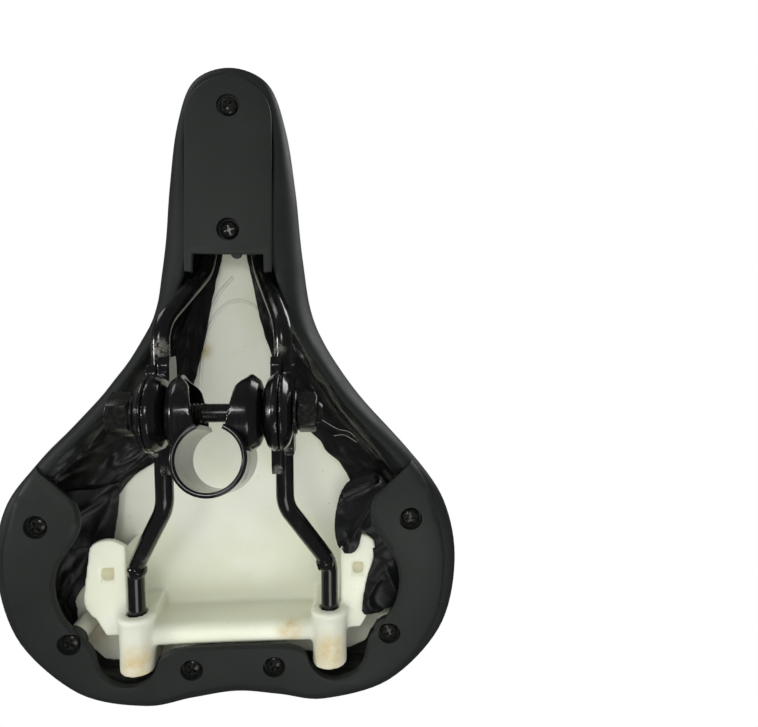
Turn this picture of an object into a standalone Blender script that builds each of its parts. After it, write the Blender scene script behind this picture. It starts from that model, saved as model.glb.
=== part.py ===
"""Bicycle saddle on 7 mm rails, with a strap clamp for a 22.2 mm seatpost.

Everything is in metres. The origin is the centre of the seatpost band, +Z is up, the nose points
along -Y and +X is to the right of it. The clamp bolt lies along X, just in front of the band.
"""

import math

import bmesh
import bpy
from mathutils import Matrix, Vector

# ---- Driving dimensions -------------------------------------------------------------------

GAP = 0.0003  # between pieces that touch

# Right half of the saddle's plan outline, from the nose tip to the notch between the rear lobes.
OUTLINE = [
    (0.0, -0.154), (0.0152, -0.148), (0.0222, -0.130), (0.0260, -0.104), (0.0290, -0.076),
    (0.0342, -0.047), (0.0505, -0.0205), (0.073, 0.0045), (0.0875, 0.025), (0.0925, 0.052),
    (0.087, 0.083), (0.066, 0.106), (0.038, 0.1135), (0.018, 0.1107), (0.0, 0.1085),
]
NOSE_TIP_Y = -0.154
REAR_LOBE = (0.038, 0.1135)  # rearmost point of each lobe
SPINE_FRONT_Y = -0.128  # the crown's ridge runs from here to SPINE_REAR_Y
SPINE_REAR_Y = 0.080

NOSE_TOP_Z = 0.0645
REAR_TOP_RISE = 0.0145
NOSE_WIDEST_Z = 0.048  # height at which the side of the nose is widest
WING_WIDEST_Z = 0.0265
REAR_WIDEST_RISE = 0.008
COVER_THICKNESS = 0.0012
HEM_WIDTH = 0.0014
FOAM_EDGE_DROP = 0.0022  # the foam and the shell end this far below the widest line
DOME_POWER = 3.0
CROWN_STEPS = 7
SHELL_STEPS = 5

SHELL_TOP_Z = 0.056
SHELL_THICKNESS = 0.0026

PANEL_SLOPE = 0.1  # the nose cover's panel rises towards the tip by this ratio
PANEL_REAR_Y = -0.076
PANEL_REAR_Z = 0.0317  # underside of the panel at its rear edge
PANEL_THICKNESS = 0.0024
PANEL_HALF_WIDTH = 0.0174
REAR_COVER_THICKNESS = 0.0026
ARM_FRONT_Y = 0.007  # the rear cover's arms reach this far forward along the outline
WING_RIM_Z = 0.0219  # lowest point of the cover's edge, under the wings
REAR_RIM_RISE = 0.0075

RAIL_RADIUS = 0.0035
RAIL_BEND_RADIUS = 0.014
NOSE_BEND_RADIUS = 0.0089
NOSE_RAIL_Z = 0.047
RAIL_HALF_SPACING = 0.023  # where the clamp holds the rail
RAIL_ABOVE_BOLT = 0.0125
SOCKET_X = 0.0398
SOCKET_Z = 0.031
SOCKET_RADIUS = 0.0072
SOCKET_MOUTH_Y = 0.0715
RAIL_END_Y = 0.093
SOCKET_END_Y = 0.0955
CROSS_RIB_Y = 0.0815
CROSS_RIB_Z = 0.0325
EAR_Z = (0.0326, 0.0358)
EAR_WINDOW_X = 0.052
EAR_WINDOW_HALF = 0.0029
EAR_WINDOW_Y = (0.0525, 0.059)
SHELL_BOSS_RADIUS = 0.004
CEILING_Z = 0.060  # the shell's inner features are cut off at its wall, well below this

POST_RADIUS = 0.0111
STRAP_THICKNESS = 0.0019
STRAP_HEIGHT = 0.028
POST_LEAN = math.radians(13.0)  # the band's lower end leans towards the nose
BOLT_OFFSET = 0.0165  # from the post's axis to the bolt's axis
BOLT_Y = -BOLT_OFFSET * math.cos(POST_LEAN)
BOLT_Z = BOLT_OFFSET * math.sin(POST_LEAN)
BOLT_RADIUS = 0.004
BOLT_HOLE_RADIUS = BOLT_RADIUS + GAP
HEX_FLATS = 0.013
HEAD_HEIGHT = 0.0085
NUT_HEIGHT = 0.0070
WASHER_THICKNESS = 0.0012
OUTER_PLATE_FACE_X = 0.0274
INNER_CHANNEL_X = (0.0176, 0.0228)
INNER_CHANNEL_Y = (BOLT_Y - 0.020, BOLT_Y + 0.025)
OUTER_CHANNEL_X = (0.0232, 0.0273)
OUTER_CHANNEL_Y = (BOLT_Y - 0.017, BOLT_Y + 0.018)
WASHER_X = OUTER_PLATE_FACE_X + GAP
HEX_X = WASHER_X + WASHER_THICKNESS + GAP
BOLT_END_X = 0.0394
RAIL_Z = BOLT_Z + RAIL_ABOVE_BOLT

SCREW_HEAD_RADIUS = 0.0037
SCREW_HEAD_HEIGHT = 0.0018
SCREW_SHANK_RADIUS = 0.0017
SCREW_LENGTH = 0.011
RECESS_RADIUS = 0.0046
SCREW_HOLE_RADIUS = SCREW_SHANK_RADIUS + GAP
NOSE_SCREWS = {"nose_screw_front": (0.0, -0.1361), "nose_screw_rear": (0.0, -0.0861)}
REAR_SCREW_SPOTS = [(0.0728, 0.030), (0.0647, 0.0807), (0.0168, 0.0942)]
RECESS_DEPTHS = {"nose_screw_front": 0.0021, "nose_screw_rear": 0.0036}
REAR_RECESS_DEPTH = 0.0023

# ---- Materials ----------------------------------------------------------------------------

FINISHES = {
    "pu_leather": ((0.030, 0.034, 0.033), 0.55, 0.0),
    "foam": ((0.55, 0.50, 0.36), 0.95, 0.0),
    "ivory_plastic": ((0.76, 0.78, 0.62), 0.35, 0.0),
    "black_plastic": ((0.022, 0.023, 0.023), 0.6, 0.0),
    "painted_steel": ((0.010, 0.010, 0.011), 0.2, 0.3),
    "black_steel": ((0.035, 0.035, 0.037), 0.35, 0.8),
}


def material(name):
    """The named Principled BSDF material, made on first use."""
    found = bpy.data.materials.get(name)
    if found:
        return found
    colour, roughness, metallic = FINISHES[name]
    made = bpy.data.materials.new(name)
    made.use_nodes = True
    shader = made.node_tree.nodes["Principled BSDF"]
    shader.inputs["Base Color"].default_value = (*colour, 1.0)
    shader.inputs["Roughness"].default_value = roughness
    shader.inputs["Metallic"].default_value = metallic
    return made


# ---- Profiles along the saddle ------------------------------------------------------------


def smooth(low, high, value):
    """0 below low, 1 above high, and an S-curve between."""
    share = min(max((value - low) / (high - low), 0.0), 1.0)
    return share * share * (3.0 - 2.0 * share)


def mix(first, second, share):
    return first + (second - first) * share


def panel_z(y):
    """Height of the nose cover's flat underside."""
    return PANEL_REAR_Z + PANEL_SLOPE * (PANEL_REAR_Y - y)


def rim_z(y):
    """Lowest edge of the cover: over the nose panel, then down to the wings and up to the rear."""
    over_panel = panel_z(y) + PANEL_THICKNESS + GAP
    wing = WING_RIM_Z + REAR_RIM_RISE * smooth(0.030, 0.105, y)
    return mix(over_panel, wing, smooth(-0.070, 0.010, y))


def widest_z(y):
    """Height of the line along which the saddle is widest."""
    wing = WING_WIDEST_Z + REAR_WIDEST_RISE * smooth(0.035, 0.105, y)
    return mix(NOSE_WIDEST_Z, wing, smooth(-0.060, 0.025, y))


def rim_inset(y):
    """How far the lower edge lies inside the plan outline."""
    nose = mix(0.0042, 0.0110, smooth(-0.140, -0.076, y))
    return mix(nose, 0.0050, smooth(-0.084, -0.030, y))


def top_z(y):
    return NOSE_TOP_Z + REAR_TOP_RISE * smooth(-0.060, 0.095, y)


def shell_inset(y):
    return mix(0.0042, 0.0065, smooth(-0.060, 0.030, y))


def shell_rim_z(y):
    return widest_z(y) - FOAM_EDGE_DROP


def shell_top_z(_y):
    return SHELL_TOP_Z


# ---- Curves -------------------------------------------------------------------------------


def catmull_rom(before, start, end, after, share):
    """A point on the smooth curve from start to end."""
    linear = (end - before) * share
    square = (2.0 * before - 5.0 * start + 4.0 * end - after) * share**2
    cube = (3.0 * start - before - 3.0 * end + after) * share**3
    return start + 0.5 * (linear + square + cube)


def mirrored_outline(steps):
    """The closed plan outline, anticlockwise from above, starting at the nose tip."""
    tip, notch = Vector(OUTLINE[0]), Vector(OUTLINE[-1])
    before = Vector((-OUTLINE[1][0], OUTLINE[1][1]))
    after = Vector((-OUTLINE[-2][0], OUTLINE[-2][1]))
    points = [before, tip, *[Vector(point) for point in OUTLINE[1:-1]], notch, after]
    half = []
    for i in range(1, len(points) - 2):
        half += [catmull_rom(*points[i - 1 : i + 3], step / steps) for step in range(steps)]
    left = [Vector((-point.x, point.y)) for point in reversed(half[1:])]
    return [*half, notch, *left]


def filleted(corners, radius, steps):
    """A wire's centre line: straight runs joined by round bends of this radius."""
    corners = [Vector(corner) for corner in corners]
    path = [corners[0]]
    for before, corner, after in zip(corners, corners[1:], corners[2:]):
        incoming = (corner - before).normalized()
        outgoing = (after - corner).normalized()
        turn = incoming.angle(outgoing)
        reach = radius * math.tan(turn / 2.0)
        start = corner - incoming * reach
        inward = (outgoing - incoming * incoming.dot(outgoing)).normalized()
        centre = start + inward * radius
        for step in range(steps + 1):
            angle = turn * step / steps
            path.append(centre + radius * (incoming * math.sin(angle) - inward * math.cos(angle)))
    return [*path, corners[-1]]


class Rib:
    """One line across the crown, from the ridge out to the plan outline."""

    def __init__(self, edge, normal):
        self.edge = edge
        share = min((edge.y - NOSE_TIP_Y) / (REAR_LOBE[1] - NOSE_TIP_Y), 1.0)
        if edge.y > 0.0 and abs(edge.x) < REAR_LOBE[0]:
            share = 1.0
        self.root = Vector((0.0, mix(SPINE_FRONT_Y, SPINE_REAR_Y, share)))
        self.inward = (self.root - edge).normalized()
        self.slant = max(self.inward.dot(normal), 0.5)

    def point(self, inset, share=1.0):
        """The point at this share of the way out to the outline moved inward by inset."""
        outer = self.edge + self.inward * (inset / self.slant)
        return self.root.lerp(outer, share)


def make_ribs(steps):
    outline = mirrored_outline(steps)
    count = len(outline)
    ribs = []
    for i, edge in enumerate(outline):
        along = (outline[(i + 1) % count] - outline[i - 1]).normalized()
        ribs.append(Rib(edge, Vector((-along.y, along.x))))
    return ribs


# ---- Rings of the saddle's body -----------------------------------------------------------


def dome_rings(ribs, inset, top, base, steps):
    """Rings of a crowned dome, from its ridge out to its edge at the height base(y)."""
    rings = []
    for step in range(steps + 1):
        angle = math.pi / 2.0 * step / steps
        share = math.sin(angle) ** (2.0 / DOME_POWER)
        height = max(math.cos(angle), 0.0) ** (2.0 / DOME_POWER)
        ring = []
        for rib in ribs:
            place = rib.point(inset(rib.edge.y), share)
            low = base(rib.edge.y)
            ring.append(Vector((place.x, place.y, low + (top(place.y) - low) * height)))
        rings.append(ring)
    return rings


def side_ring(ribs, extra_inset, angle):
    """A ring on the round lower side, from the widest line (0) to the rim (90 degrees)."""
    ring = []
    for rib in ribs:
        y = rib.edge.y
        place = rib.point(extra_inset + rim_inset(y) * (1.0 - math.cos(angle)))
        height = mix(widest_z(y), rim_z(y), math.sin(angle))
        ring.append(Vector((place.x, place.y, height)))
    return ring


def loft(rings, closed_ends=True):
    """A surface through the rings, which are in order from the top's ridge outward and down."""
    bm = bmesh.new()
    rows = [[bm.verts.new(point) for point in ring] for ring in rings]
    for inner, outer in zip(rows, rows[1:]):
        for i in range(len(inner)):
            j = (i + 1) % len(inner)
            bm.faces.new((inner[i], outer[i], outer[j], inner[j]))
    bmesh.ops.remove_doubles(bm, verts=bm.verts, dist=1e-6)
    if closed_ends:
        bmesh.ops.recalc_face_normals(bm, faces=bm.faces)
    return bm


# ---- Solids -------------------------------------------------------------------------------


def prism(points, low, high, axis="Z"):
    """A polygon in the plane across axis, extruded from low to high along it.

    The polygon's two coordinates are X and Y for axis Z, X and Z for axis Y, and Y and Z for X.
    """
    place = {
        "Z": lambda a, b, c: (a, b, c),
        "Y": lambda a, b, c: (a, c, b),
        "X": lambda a, b, c: (c, a, b),
    }[axis]
    bm = bmesh.new()
    face = bm.faces.new([bm.verts.new(place(a, b, low)) for a, b in points])
    sweep = Vector(place(0.0, 0.0, high - low))
    extruded = bmesh.ops.extrude_face_region(bm, geom=[face])
    moved = [item for item in extruded["geom"] if isinstance(item, bmesh.types.BMVert)]
    bmesh.ops.translate(bm, verts=moved, vec=sweep)
    bmesh.ops.recalc_face_normals(bm, faces=bm.faces)
    return bm


def arc(centre, radius, start, end, steps):
    """Points on an arc, with angles in degrees."""
    angles = [math.radians(mix(start, end, step / steps)) for step in range(steps + 1)]
    return [(centre[0] + radius * math.cos(a), centre[1] + radius * math.sin(a)) for a in angles]


def circle(centre, radius, sides):
    return arc(centre, radius, 0.0, 360.0, sides)[:-1]


def box_outline(x0, x1, y0, y1):
    return [(x0, y0), (x1, y0), (x1, y1), (x0, y1)]


def turned(profile, segments, closed=False):
    """A profile of (distance along X, radius) points, turned about the X axis."""
    bm = bmesh.new()
    verts = [bm.verts.new((x, radius, 0.0)) for x, radius in profile]
    pairs = list(zip(verts, verts[1:]))
    if closed:
        pairs.append((verts[-1], verts[0]))
    edges = [bm.edges.new(pair) for pair in pairs]
    bmesh.ops.spin(
        bm, geom=[*verts, *edges], cent=(0, 0, 0), axis=(1, 0, 0),
        angle=2.0 * math.pi, steps=segments, use_merge=True,
    )
    bmesh.ops.remove_doubles(bm, verts=bm.verts, dist=1e-6)
    bmesh.ops.recalc_face_normals(bm, faces=bm.faces)
    return bm


def node(name, bm, finish, origin=(0.0, 0.0, 0.0), parent=None, smooth_angle=40.0):
    """A visible piece, with its mesh given in world space and its origin put where it is told."""
    mesh = bpy.data.meshes.new(name)
    bm.to_mesh(mesh)
    bm.free()
    mesh.transform(Matrix.Translation(-Vector(origin)))
    obj = bpy.data.objects.new(name, mesh)
    bpy.context.scene.collection.objects.link(obj)
    obj.data.materials.append(material(finish))
    mesh.shade_smooth()
    mesh.set_sharp_from_angle(angle=math.radians(smooth_angle))
    attach(obj, origin, parent)
    return obj


def attach(obj, origin, parent):
    """Puts an object at a world place under its parent empty."""
    obj.location = Vector(origin)
    if parent:
        obj.parent = parent
        obj.location = Vector(origin) - Vector(parent["world_place"])


def pivot(name, place, parent=None):
    """An empty on a joint's axis."""
    empty = bpy.data.objects.new(name, None)
    empty.empty_display_size = 0.02
    empty["world_place"] = place
    bpy.context.scene.collection.objects.link(empty)
    attach(empty, place, parent)
    return empty


def helper(name, bm):
    """A hidden shape for a Boolean."""
    mesh = bpy.data.meshes.new(name)
    bm.to_mesh(mesh)
    bm.free()
    obj = bpy.data.objects.new(name, mesh)
    bpy.context.scene.collection.objects.link(obj)
    obj.hide_render = True
    obj.display_type = "WIRE"
    return obj


def boolean(obj, operation, other):
    modifier = obj.modifiers.new(other.name, "BOOLEAN")
    modifier.operation = operation
    modifier.solver = "EXACT"
    modifier.object = other


def join(obj, other):
    boolean(obj, "UNION", other)


def cut(obj, other):
    boolean(obj, "DIFFERENCE", other)


def cylinder(name, place, radius, low, high, sides=12):
    """A hidden upright cylinder."""
    return helper(name, prism(circle(place, radius, sides), low, high))


# ---- Cover, foam and shell ----------------------------------------------------------------


def make_cover(ribs, body):
    """The skin: crown, round lower side and a short hem turned under the rim."""
    rings = dome_rings(ribs, lambda _y: 0.0, top_z, widest_z, CROWN_STEPS)
    rings += [side_ring(ribs, 0.0, math.radians(angle)) for angle in (45.0, 90.0)]
    hem = []
    for rib in ribs:
        y = rib.edge.y
        place = rib.point(rim_inset(y) + HEM_WIDTH)
        hem.append(Vector((place.x, place.y, rim_z(y))))
    rings.append(hem)
    cover = node("cover", loft(rings, closed_ends=False), "pu_leather", parent=body)
    wall = cover.modifiers.new("thickness", "SOLIDIFY")
    wall.thickness = COVER_THICKNESS
    wall.offset = -1.0
    return cover


def make_foam(ribs, body):
    """The pad between the cover and the shell."""
    under_cover = COVER_THICKNESS + 2.0 * GAP

    def outer_inset(_y):
        return under_cover

    def outer_top(y):
        return top_z(y) - under_cover

    def inner_inset(y):
        return shell_inset(y) - GAP

    def inner_top(y):
        return shell_top_z(y) + GAP

    rings = dome_rings(ribs, outer_inset, outer_top, widest_z, CROWN_STEPS)
    edge = []
    for rib in ribs:
        y = rib.edge.y
        drop = FOAM_EDGE_DROP / (widest_z(y) - rim_z(y))
        side = rim_inset(y) * (1.0 - math.sqrt(1.0 - drop**2))
        place = rib.point(under_cover + side + 0.0008)
        edge.append(Vector((place.x, place.y, shell_rim_z(y))))
    rings.append(edge)
    rings += reversed(dome_rings(ribs, inner_inset, inner_top, shell_rim_z, SHELL_STEPS))
    return node("foam_pad", loft(rings), "foam", parent=body)


def shell_wall(ribs, depth, steps):
    """Rings of the shell's surface at this depth under its outer face."""
    return dome_rings(
        ribs, lambda y: shell_inset(y) + depth, lambda y: shell_top_z(y) - depth, shell_rim_z, steps
    )


def shell_envelope(ribs, name):
    """A solid up to the middle of the shell's wall, which trims the shell's inner features."""
    rings = shell_wall(ribs, SHELL_THICKNESS / 2.0, SHELL_STEPS)
    foot = [Vector((point.x, point.y, 0.005)) for point in rings[-1]]
    middle = [Vector((0.0, rib.root.y, 0.005)) for rib in ribs]
    return helper(name, loft([*rings, foot, middle]))


def socket_outline(x):
    """A rail socket's section across Y: round below and running up into the shell."""
    under = arc((x, SOCKET_Z), SOCKET_RADIUS, 180.0, 360.0, 12)
    return [*under, (x + 0.0055, CEILING_Z), (x - 0.0055, CEILING_Z)]


def ear_outline(side):
    """A rounded tab beside a rail socket."""
    points = [(0.0444, 0.082), (0.0444, 0.044), *arc((0.052, 0.050), 0.009, 235.0, 320.0, 4)]
    points += [*arc((0.052, 0.066), 0.010, -10.0, 60.0, 4), (0.053, 0.082)]
    return [(side * x, y) for x, y in points]


def make_shell(ribs, body, screws):
    """The moulded shell with its rail sockets, cross rib, ears, screw bosses and nose seat."""
    rings = [
        *shell_wall(ribs, 0.0, SHELL_STEPS),
        *reversed(shell_wall(ribs, SHELL_THICKNESS, SHELL_STEPS)),
    ]
    shell = node("shell", loft(rings), "ivory_plastic", parent=body)
    envelope = shell_envelope(ribs, "shell_envelope")

    features = []
    rib_foot = arc((CROSS_RIB_Y, CROSS_RIB_Z), 0.0045, 180.0, 360.0, 6)
    rib_top = [(CROSS_RIB_Y + 0.003, CEILING_Z), (CROSS_RIB_Y - 0.003, CEILING_Z)]
    features.append(helper("cross_rib", prism([*rib_foot, *rib_top], -0.038, 0.038, "X")))
    for side, label in ((1.0, "right"), (-1.0, "left")):
        section = socket_outline(side * SOCKET_X)
        features.append(helper(f"socket_{label}", prism(section, SOCKET_MOUTH_Y, SOCKET_END_Y, "Y")))
        features.append(helper(f"ear_{label}", prism(ear_outline(side), *EAR_Z)))
    nose_seat = box_outline(-0.0125, 0.0125, -0.121, -0.099)
    features.append(helper("nose_seat", prism(nose_seat, NOSE_RAIL_Z + RAIL_RADIUS + GAP, CEILING_Z)))
    for name, (x, y) in screws.items():
        foot = screw_seat_z(name, y) + REAR_COVER_THICKNESS
        features.append(cylinder(f"boss_{name}", (x, y), SHELL_BOSS_RADIUS, foot, CEILING_Z))
    for feature in features:
        boolean(feature, "INTERSECT", envelope)
        join(shell, feature)

    for side, label in ((1.0, "right"), (-1.0, "left")):
        wire = circle((side * SOCKET_X, SOCKET_Z), RAIL_RADIUS + GAP, 14)
        cut(shell, helper(f"socket_bore_{label}", prism(wire, 0.060, RAIL_END_Y + GAP, "Y")))
        middle = side * EAR_WINDOW_X
        window = box_outline(middle - EAR_WINDOW_HALF, middle + EAR_WINDOW_HALF, *EAR_WINDOW_Y)
        cut(shell, helper(f"ear_window_{label}", prism(window, 0.030, 0.038)))
    for name, spot in screws.items():
        seat = screw_seat_z(name, spot[1])
        high = seat + SCREW_LENGTH + GAP
        cut(shell, cylinder(f"shell_hole_{name}", spot, SCREW_HOLE_RADIUS, seat, high))
    return shell


# ---- Screws and the two plastic covers ----------------------------------------------------


def plate_z(y):
    """Underside of the rear cover."""
    return rim_z(y) - GAP - REAR_COVER_THICKNESS


def screw_seat_z(name, y):
    """Height at which a screw's head rests in its recess."""
    if name in RECESS_DEPTHS:
        return panel_z(y) + RECESS_DEPTHS[name]
    return plate_z(y) + REAR_RECESS_DEPTH


def rear_screws():
    """Name and place of each rear screw, from the right wing to the left one."""
    spots = [*REAR_SCREW_SPOTS, *[(-x, y) for x, y in reversed(REAR_SCREW_SPOTS)]]
    return {f"rear_screw_{i + 1}": spot for i, spot in enumerate(spots)}


def screw_mesh():
    """A pan-head screw pointing up, its head's seat at the origin, with a cross recess."""
    head = SCREW_HEAD_RADIUS
    height = SCREW_HEAD_HEIGHT
    profile = [
        (-height, 0.0), (-height, head * 0.62), (-height * 0.55, head * 0.95), (0.0, head),
        (0.0, SCREW_SHANK_RADIUS), (SCREW_LENGTH - 0.002, SCREW_SHANK_RADIUS), (SCREW_LENGTH, 0.0),
    ]
    bm = turned(profile, 12)
    bmesh.ops.rotate(bm, verts=bm.verts, cent=(0, 0, 0), matrix=Matrix.Rotation(-math.pi / 2, 3, "Y"))
    screw = helper("screw_blank", bm)
    long, thin = 0.0021, 0.00045
    cross = [
        (-long, -thin), (-thin, -thin), (-thin, -long), (thin, -long), (thin, -thin), (long, -thin),
        (long, thin), (thin, thin), (thin, long), (-thin, long), (-thin, thin), (-long, thin),
    ]
    cut(screw, helper("cross_recess", prism(cross, -0.004, -0.0007)))
    bpy.context.view_layer.update()
    graph = bpy.context.evaluated_depsgraph_get()
    mesh = bpy.data.meshes.new_from_object(screw.evaluated_get(graph))
    mesh.materials.clear()
    mesh.materials.append(material("black_steel"))
    mesh.shade_smooth()
    mesh.set_sharp_from_angle(angle=math.radians(35.0))
    return mesh


def make_screws(screws, body):
    mesh = screw_mesh()
    for name, (x, y) in screws.items():
        screw = bpy.data.objects.new(name, mesh)
        bpy.context.scene.collection.objects.link(screw)
        attach(screw, (x, y, screw_seat_z(name, y) - GAP), body)


def panel_outline(inset=0.0):
    """The nose cover: straight sides, round front and two short legs at its rear corners."""
    half = PANEL_HALF_WIDTH - inset
    front = arc((0.0, -0.131), half, 180.0, 360.0, 16)
    legs = [(half, -0.071), (half - 0.0025, -0.071), (half - 0.0025, PANEL_REAR_Y)]
    return [*front, *legs, *[(-x, y) for x, y in reversed(legs)]]


def make_nose_cover(body):
    """A flat panel that slopes up to the tip, with posts that hold the rail against the shell."""
    bm = prism(panel_outline(), 0.0, PANEL_THICKNESS)
    for vert in bm.verts:
        vert.co.z += panel_z(vert.co.y)
    cover = node("nose_cover", bm, "black_plastic", parent=body)
    foot = panel_z(-0.106) + 0.001
    for side, label in ((1.0, "right"), (-1.0, "left")):
        post = box_outline(side * 0.009 - 0.003, side * 0.009 + 0.003, -0.112, -0.100)
        join(cover, helper(f"rail_post_{label}", prism(post, foot, NOSE_RAIL_Z - RAIL_RADIUS - GAP)))
    join(cover, cylinder("tail_boss", (0.003, -0.0755), 0.0028, 0.0312, 0.0345))
    for name, spot in NOSE_SCREWS.items():
        seat_screw(cover, name, spot, panel_z(spot[1]), 0.0064, REAR_COVER_THICKNESS - GAP)
    return cover


def seat_screw(cover, name, spot, low, boss_radius, floor):
    """A boss on a plastic cover's inner side, with a screw's recess and hole through it.

    low is the height of the cover's underside and floor the thickness above the screw's seat.
    """
    seat = screw_seat_z(name, spot[1])
    below = low - 0.01
    join(cover, cylinder(f"boss_of_{name}", spot, boss_radius, low + 0.001, seat + floor))
    cut(cover, cylinder(f"recess_of_{name}", spot, RECESS_RADIUS, below, seat, 16))
    cut(cover, cylinder(f"hole_of_{name}", spot, SCREW_HOLE_RADIUS, below, 0.055))


def rear_cover_inner_edge():
    """Right half of the U's inner edge, from the front tip to the middle of the rear bar."""
    front = [(0.0570, 0.0225), (0.0560, 0.0285), (0.0625, 0.0395), (0.0680, 0.0490)]
    side = [(0.0690, 0.0580), (0.0660, 0.0690), (0.0610, 0.0770), (0.0565, 0.0830)]
    notch = arc((0.0425, 0.0885), 0.0128, 0.0, 180.0, 5)
    return [*front, *side, *notch, (0.0200, 0.0872), (0.0, 0.0870)]


def matching_outline(ribs, count):
    """Points of the rear cover's outer edge, evenly along it, from the front tip to the middle."""
    path = []
    for rib in ribs[: len(ribs) // 2 + 1]:
        if rib.edge.y > ARM_FRONT_Y:
            path.append(rib.point(rim_inset(rib.edge.y) + 0.0006))
    lengths = [0.0]
    for first, second in zip(path, path[1:]):
        lengths.append(lengths[-1] + (second - first).length)
    points = []
    for step in range(count):
        target = lengths[-1] * step / (count - 1)
        i = max(k for k in range(len(path) - 1) if lengths[k] <= target + 1e-12)
        share = (target - lengths[i]) / (lengths[i + 1] - lengths[i])
        points.append(path[i].lerp(path[i + 1], share))
    return points


def make_rear_cover(ribs, screws, body):
    """A U-shaped plate under the rim, following its height, with a recess for each screw."""
    inner = [Vector(point) for point in rear_cover_inner_edge()]
    outer = matching_outline(ribs, len(inner))
    rows = []
    for a, b in zip(outer, inner):
        rows.append([a.lerp(b, share) for share in (0.0, 0.5, 1.0)])
    rows += [[Vector((-p.x, p.y)) for p in row] for row in reversed(rows[:-1])]
    bm = bmesh.new()
    grid = [[bm.verts.new((p.x, p.y, plate_z(p.y))) for p in row] for row in rows]
    for first, second in zip(grid, grid[1:]):
        for i in range(2):
            bm.faces.new((first[i], first[i + 1], second[i + 1], second[i]))
    bmesh.ops.recalc_face_normals(bm, faces=bm.faces)
    lifted = bmesh.ops.extrude_face_region(bm, geom=list(bm.faces), use_keep_orig=True)
    raised = [item for item in lifted["geom"] if isinstance(item, bmesh.types.BMVert)]
    bmesh.ops.translate(bm, verts=raised, vec=(0.0, 0.0, REAR_COVER_THICKNESS))
    bmesh.ops.recalc_face_normals(bm, faces=bm.faces)
    cover = node("rear_cover", bm, "black_plastic", parent=body)
    for name, spot in screws.items():
        seat_screw(cover, name, spot, plate_z(spot[1]), 0.0062, 0.0013)
    return cover


# ---- Rail ---------------------------------------------------------------------------------


def make_rail(body):
    """One steel wire: two sockets, two clamping runs and a U-bend in the nose."""
    half = [
        (SOCKET_X, RAIL_END_Y, SOCKET_Z), (SOCKET_X, 0.052, SOCKET_Z),
        (RAIL_HALF_SPACING, 0.0225, RAIL_Z), (RAIL_HALF_SPACING, -0.048, RAIL_Z),
        (0.0115, -0.0705, 0.0462), (0.009, -0.090, NOSE_RAIL_Z), (0.009, -0.119, NOSE_RAIL_Z),
    ]
    corners = [*half, *[(-x, y, z) for x, y, z in reversed(half)]]
    path = filleted(corners[:6], RAIL_BEND_RADIUS, 3)[:-1]
    tight = filleted([corners[5], corners[6], corners[7], corners[8]], NOSE_BEND_RADIUS, 5)
    path = [*path, *tight, *[Vector((-p.x, p.y, p.z)) for p in reversed(path)]]
    curve = bpy.data.curves.new("rail", "CURVE")
    curve.dimensions = "3D"
    curve.bevel_depth = RAIL_RADIUS
    curve.bevel_resolution = 2
    curve.use_fill_caps = True
    spline = curve.splines.new("POLY")
    spline.points.add(len(path) - 1)
    for point, place in zip(spline.points, path):
        point.co = (*place, 1.0)
    curve.materials.append(material("painted_steel"))
    rail = bpy.data.objects.new("rail", curve)
    bpy.context.scene.collection.objects.link(rail)
    attach(rail, (0.0, 0.0, 0.0), body)
    return rail


# ---- Seatpost clamp -----------------------------------------------------------------------


def about_bolt(bm):
    """Moves a piece made about the X axis onto the clamp bolt."""
    bmesh.ops.translate(bm, verts=bm.verts, vec=(0.0, BOLT_Y, BOLT_Z))
    return bm


def flipped(profile, side):
    return [(side * x, radius) for x, radius in profile]


def leaned(bm):
    """Tilts a piece made about the Z axis to the seatpost's lean."""
    bmesh.ops.rotate(bm, verts=bm.verts, cent=(0, 0, 0), matrix=Matrix.Rotation(-POST_LEAN, 3, "X"))
    return bm


def ear_mesh(side):
    """A dished ear about the bolt: its hollow faces the middle, and its lip is cut aslant."""
    profile = [
        (0.0169, BOLT_HOLE_RADIUS), (0.0169, 0.0088), (0.0157, 0.0120), (0.0130, 0.0141),
        (0.0083, 0.0143), (0.0083, 0.0124), (0.0124, 0.0122), (0.0142, 0.0106), (0.0150, 0.0082),
        (0.0150, BOLT_HOLE_RADIUS),
    ]
    bm = turned(flipped(profile, side), 20, closed=True)
    for vert in bm.verts:
        if abs(vert.co.x) < 0.0090:
            vert.co.x = side * (0.0083 - 0.30 * vert.co.y)
    bmesh.ops.translate(bm, verts=bm.verts, vec=(0.0, -BOLT_OFFSET, 0.0))
    return bm


def make_band():
    """A strap round the seatpost, nearly closed, with an ear at each end."""
    neck = math.degrees(math.asin(0.0042 / POST_RADIUS))
    start, end = -90.0 + neck, 270.0 - neck
    outer = arc((0.0, 0.0), POST_RADIUS + STRAP_THICKNESS, start, end, 24)
    inner = arc((0.0, 0.0), POST_RADIUS, end, start, 24)
    loop = prism([*outer, *inner], -STRAP_HEIGHT / 2.0, STRAP_HEIGHT / 2.0)
    band = node("seatpost_band", leaned(loop), "painted_steel")
    post = prism(circle((0.0, 0.0), POST_RADIUS, 24), -0.03, 0.03)
    bore = helper("post_bore", leaned(post))
    for side, label in ((1.0, "right"), (-1.0, "left")):
        ear = helper(f"ear_dish_{label}", leaned(ear_mesh(side)))
        cut(ear, bore)
        join(band, ear)
    return band


def rail_channel(side, low, high, ends_y, name):
    """A block over the rail, between two distances from the middle and two places along it."""
    front, rear = ends_y
    bevel, under, over = 0.003, 0.0062, 0.0056
    slant = 0.0012
    section = [
        (front, RAIL_Z - under + slant), (front + bevel, RAIL_Z - under),
        (rear - bevel, RAIL_Z - under), (rear, RAIL_Z - under + slant),
        (rear, RAIL_Z + over - slant), (rear - bevel, RAIL_Z + over),
        (front + bevel, RAIL_Z + over), (front, RAIL_Z + over - slant),
    ]
    ends = sorted((side * low, side * high))
    return helper(name, prism(section, *ends, "X"))


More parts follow.
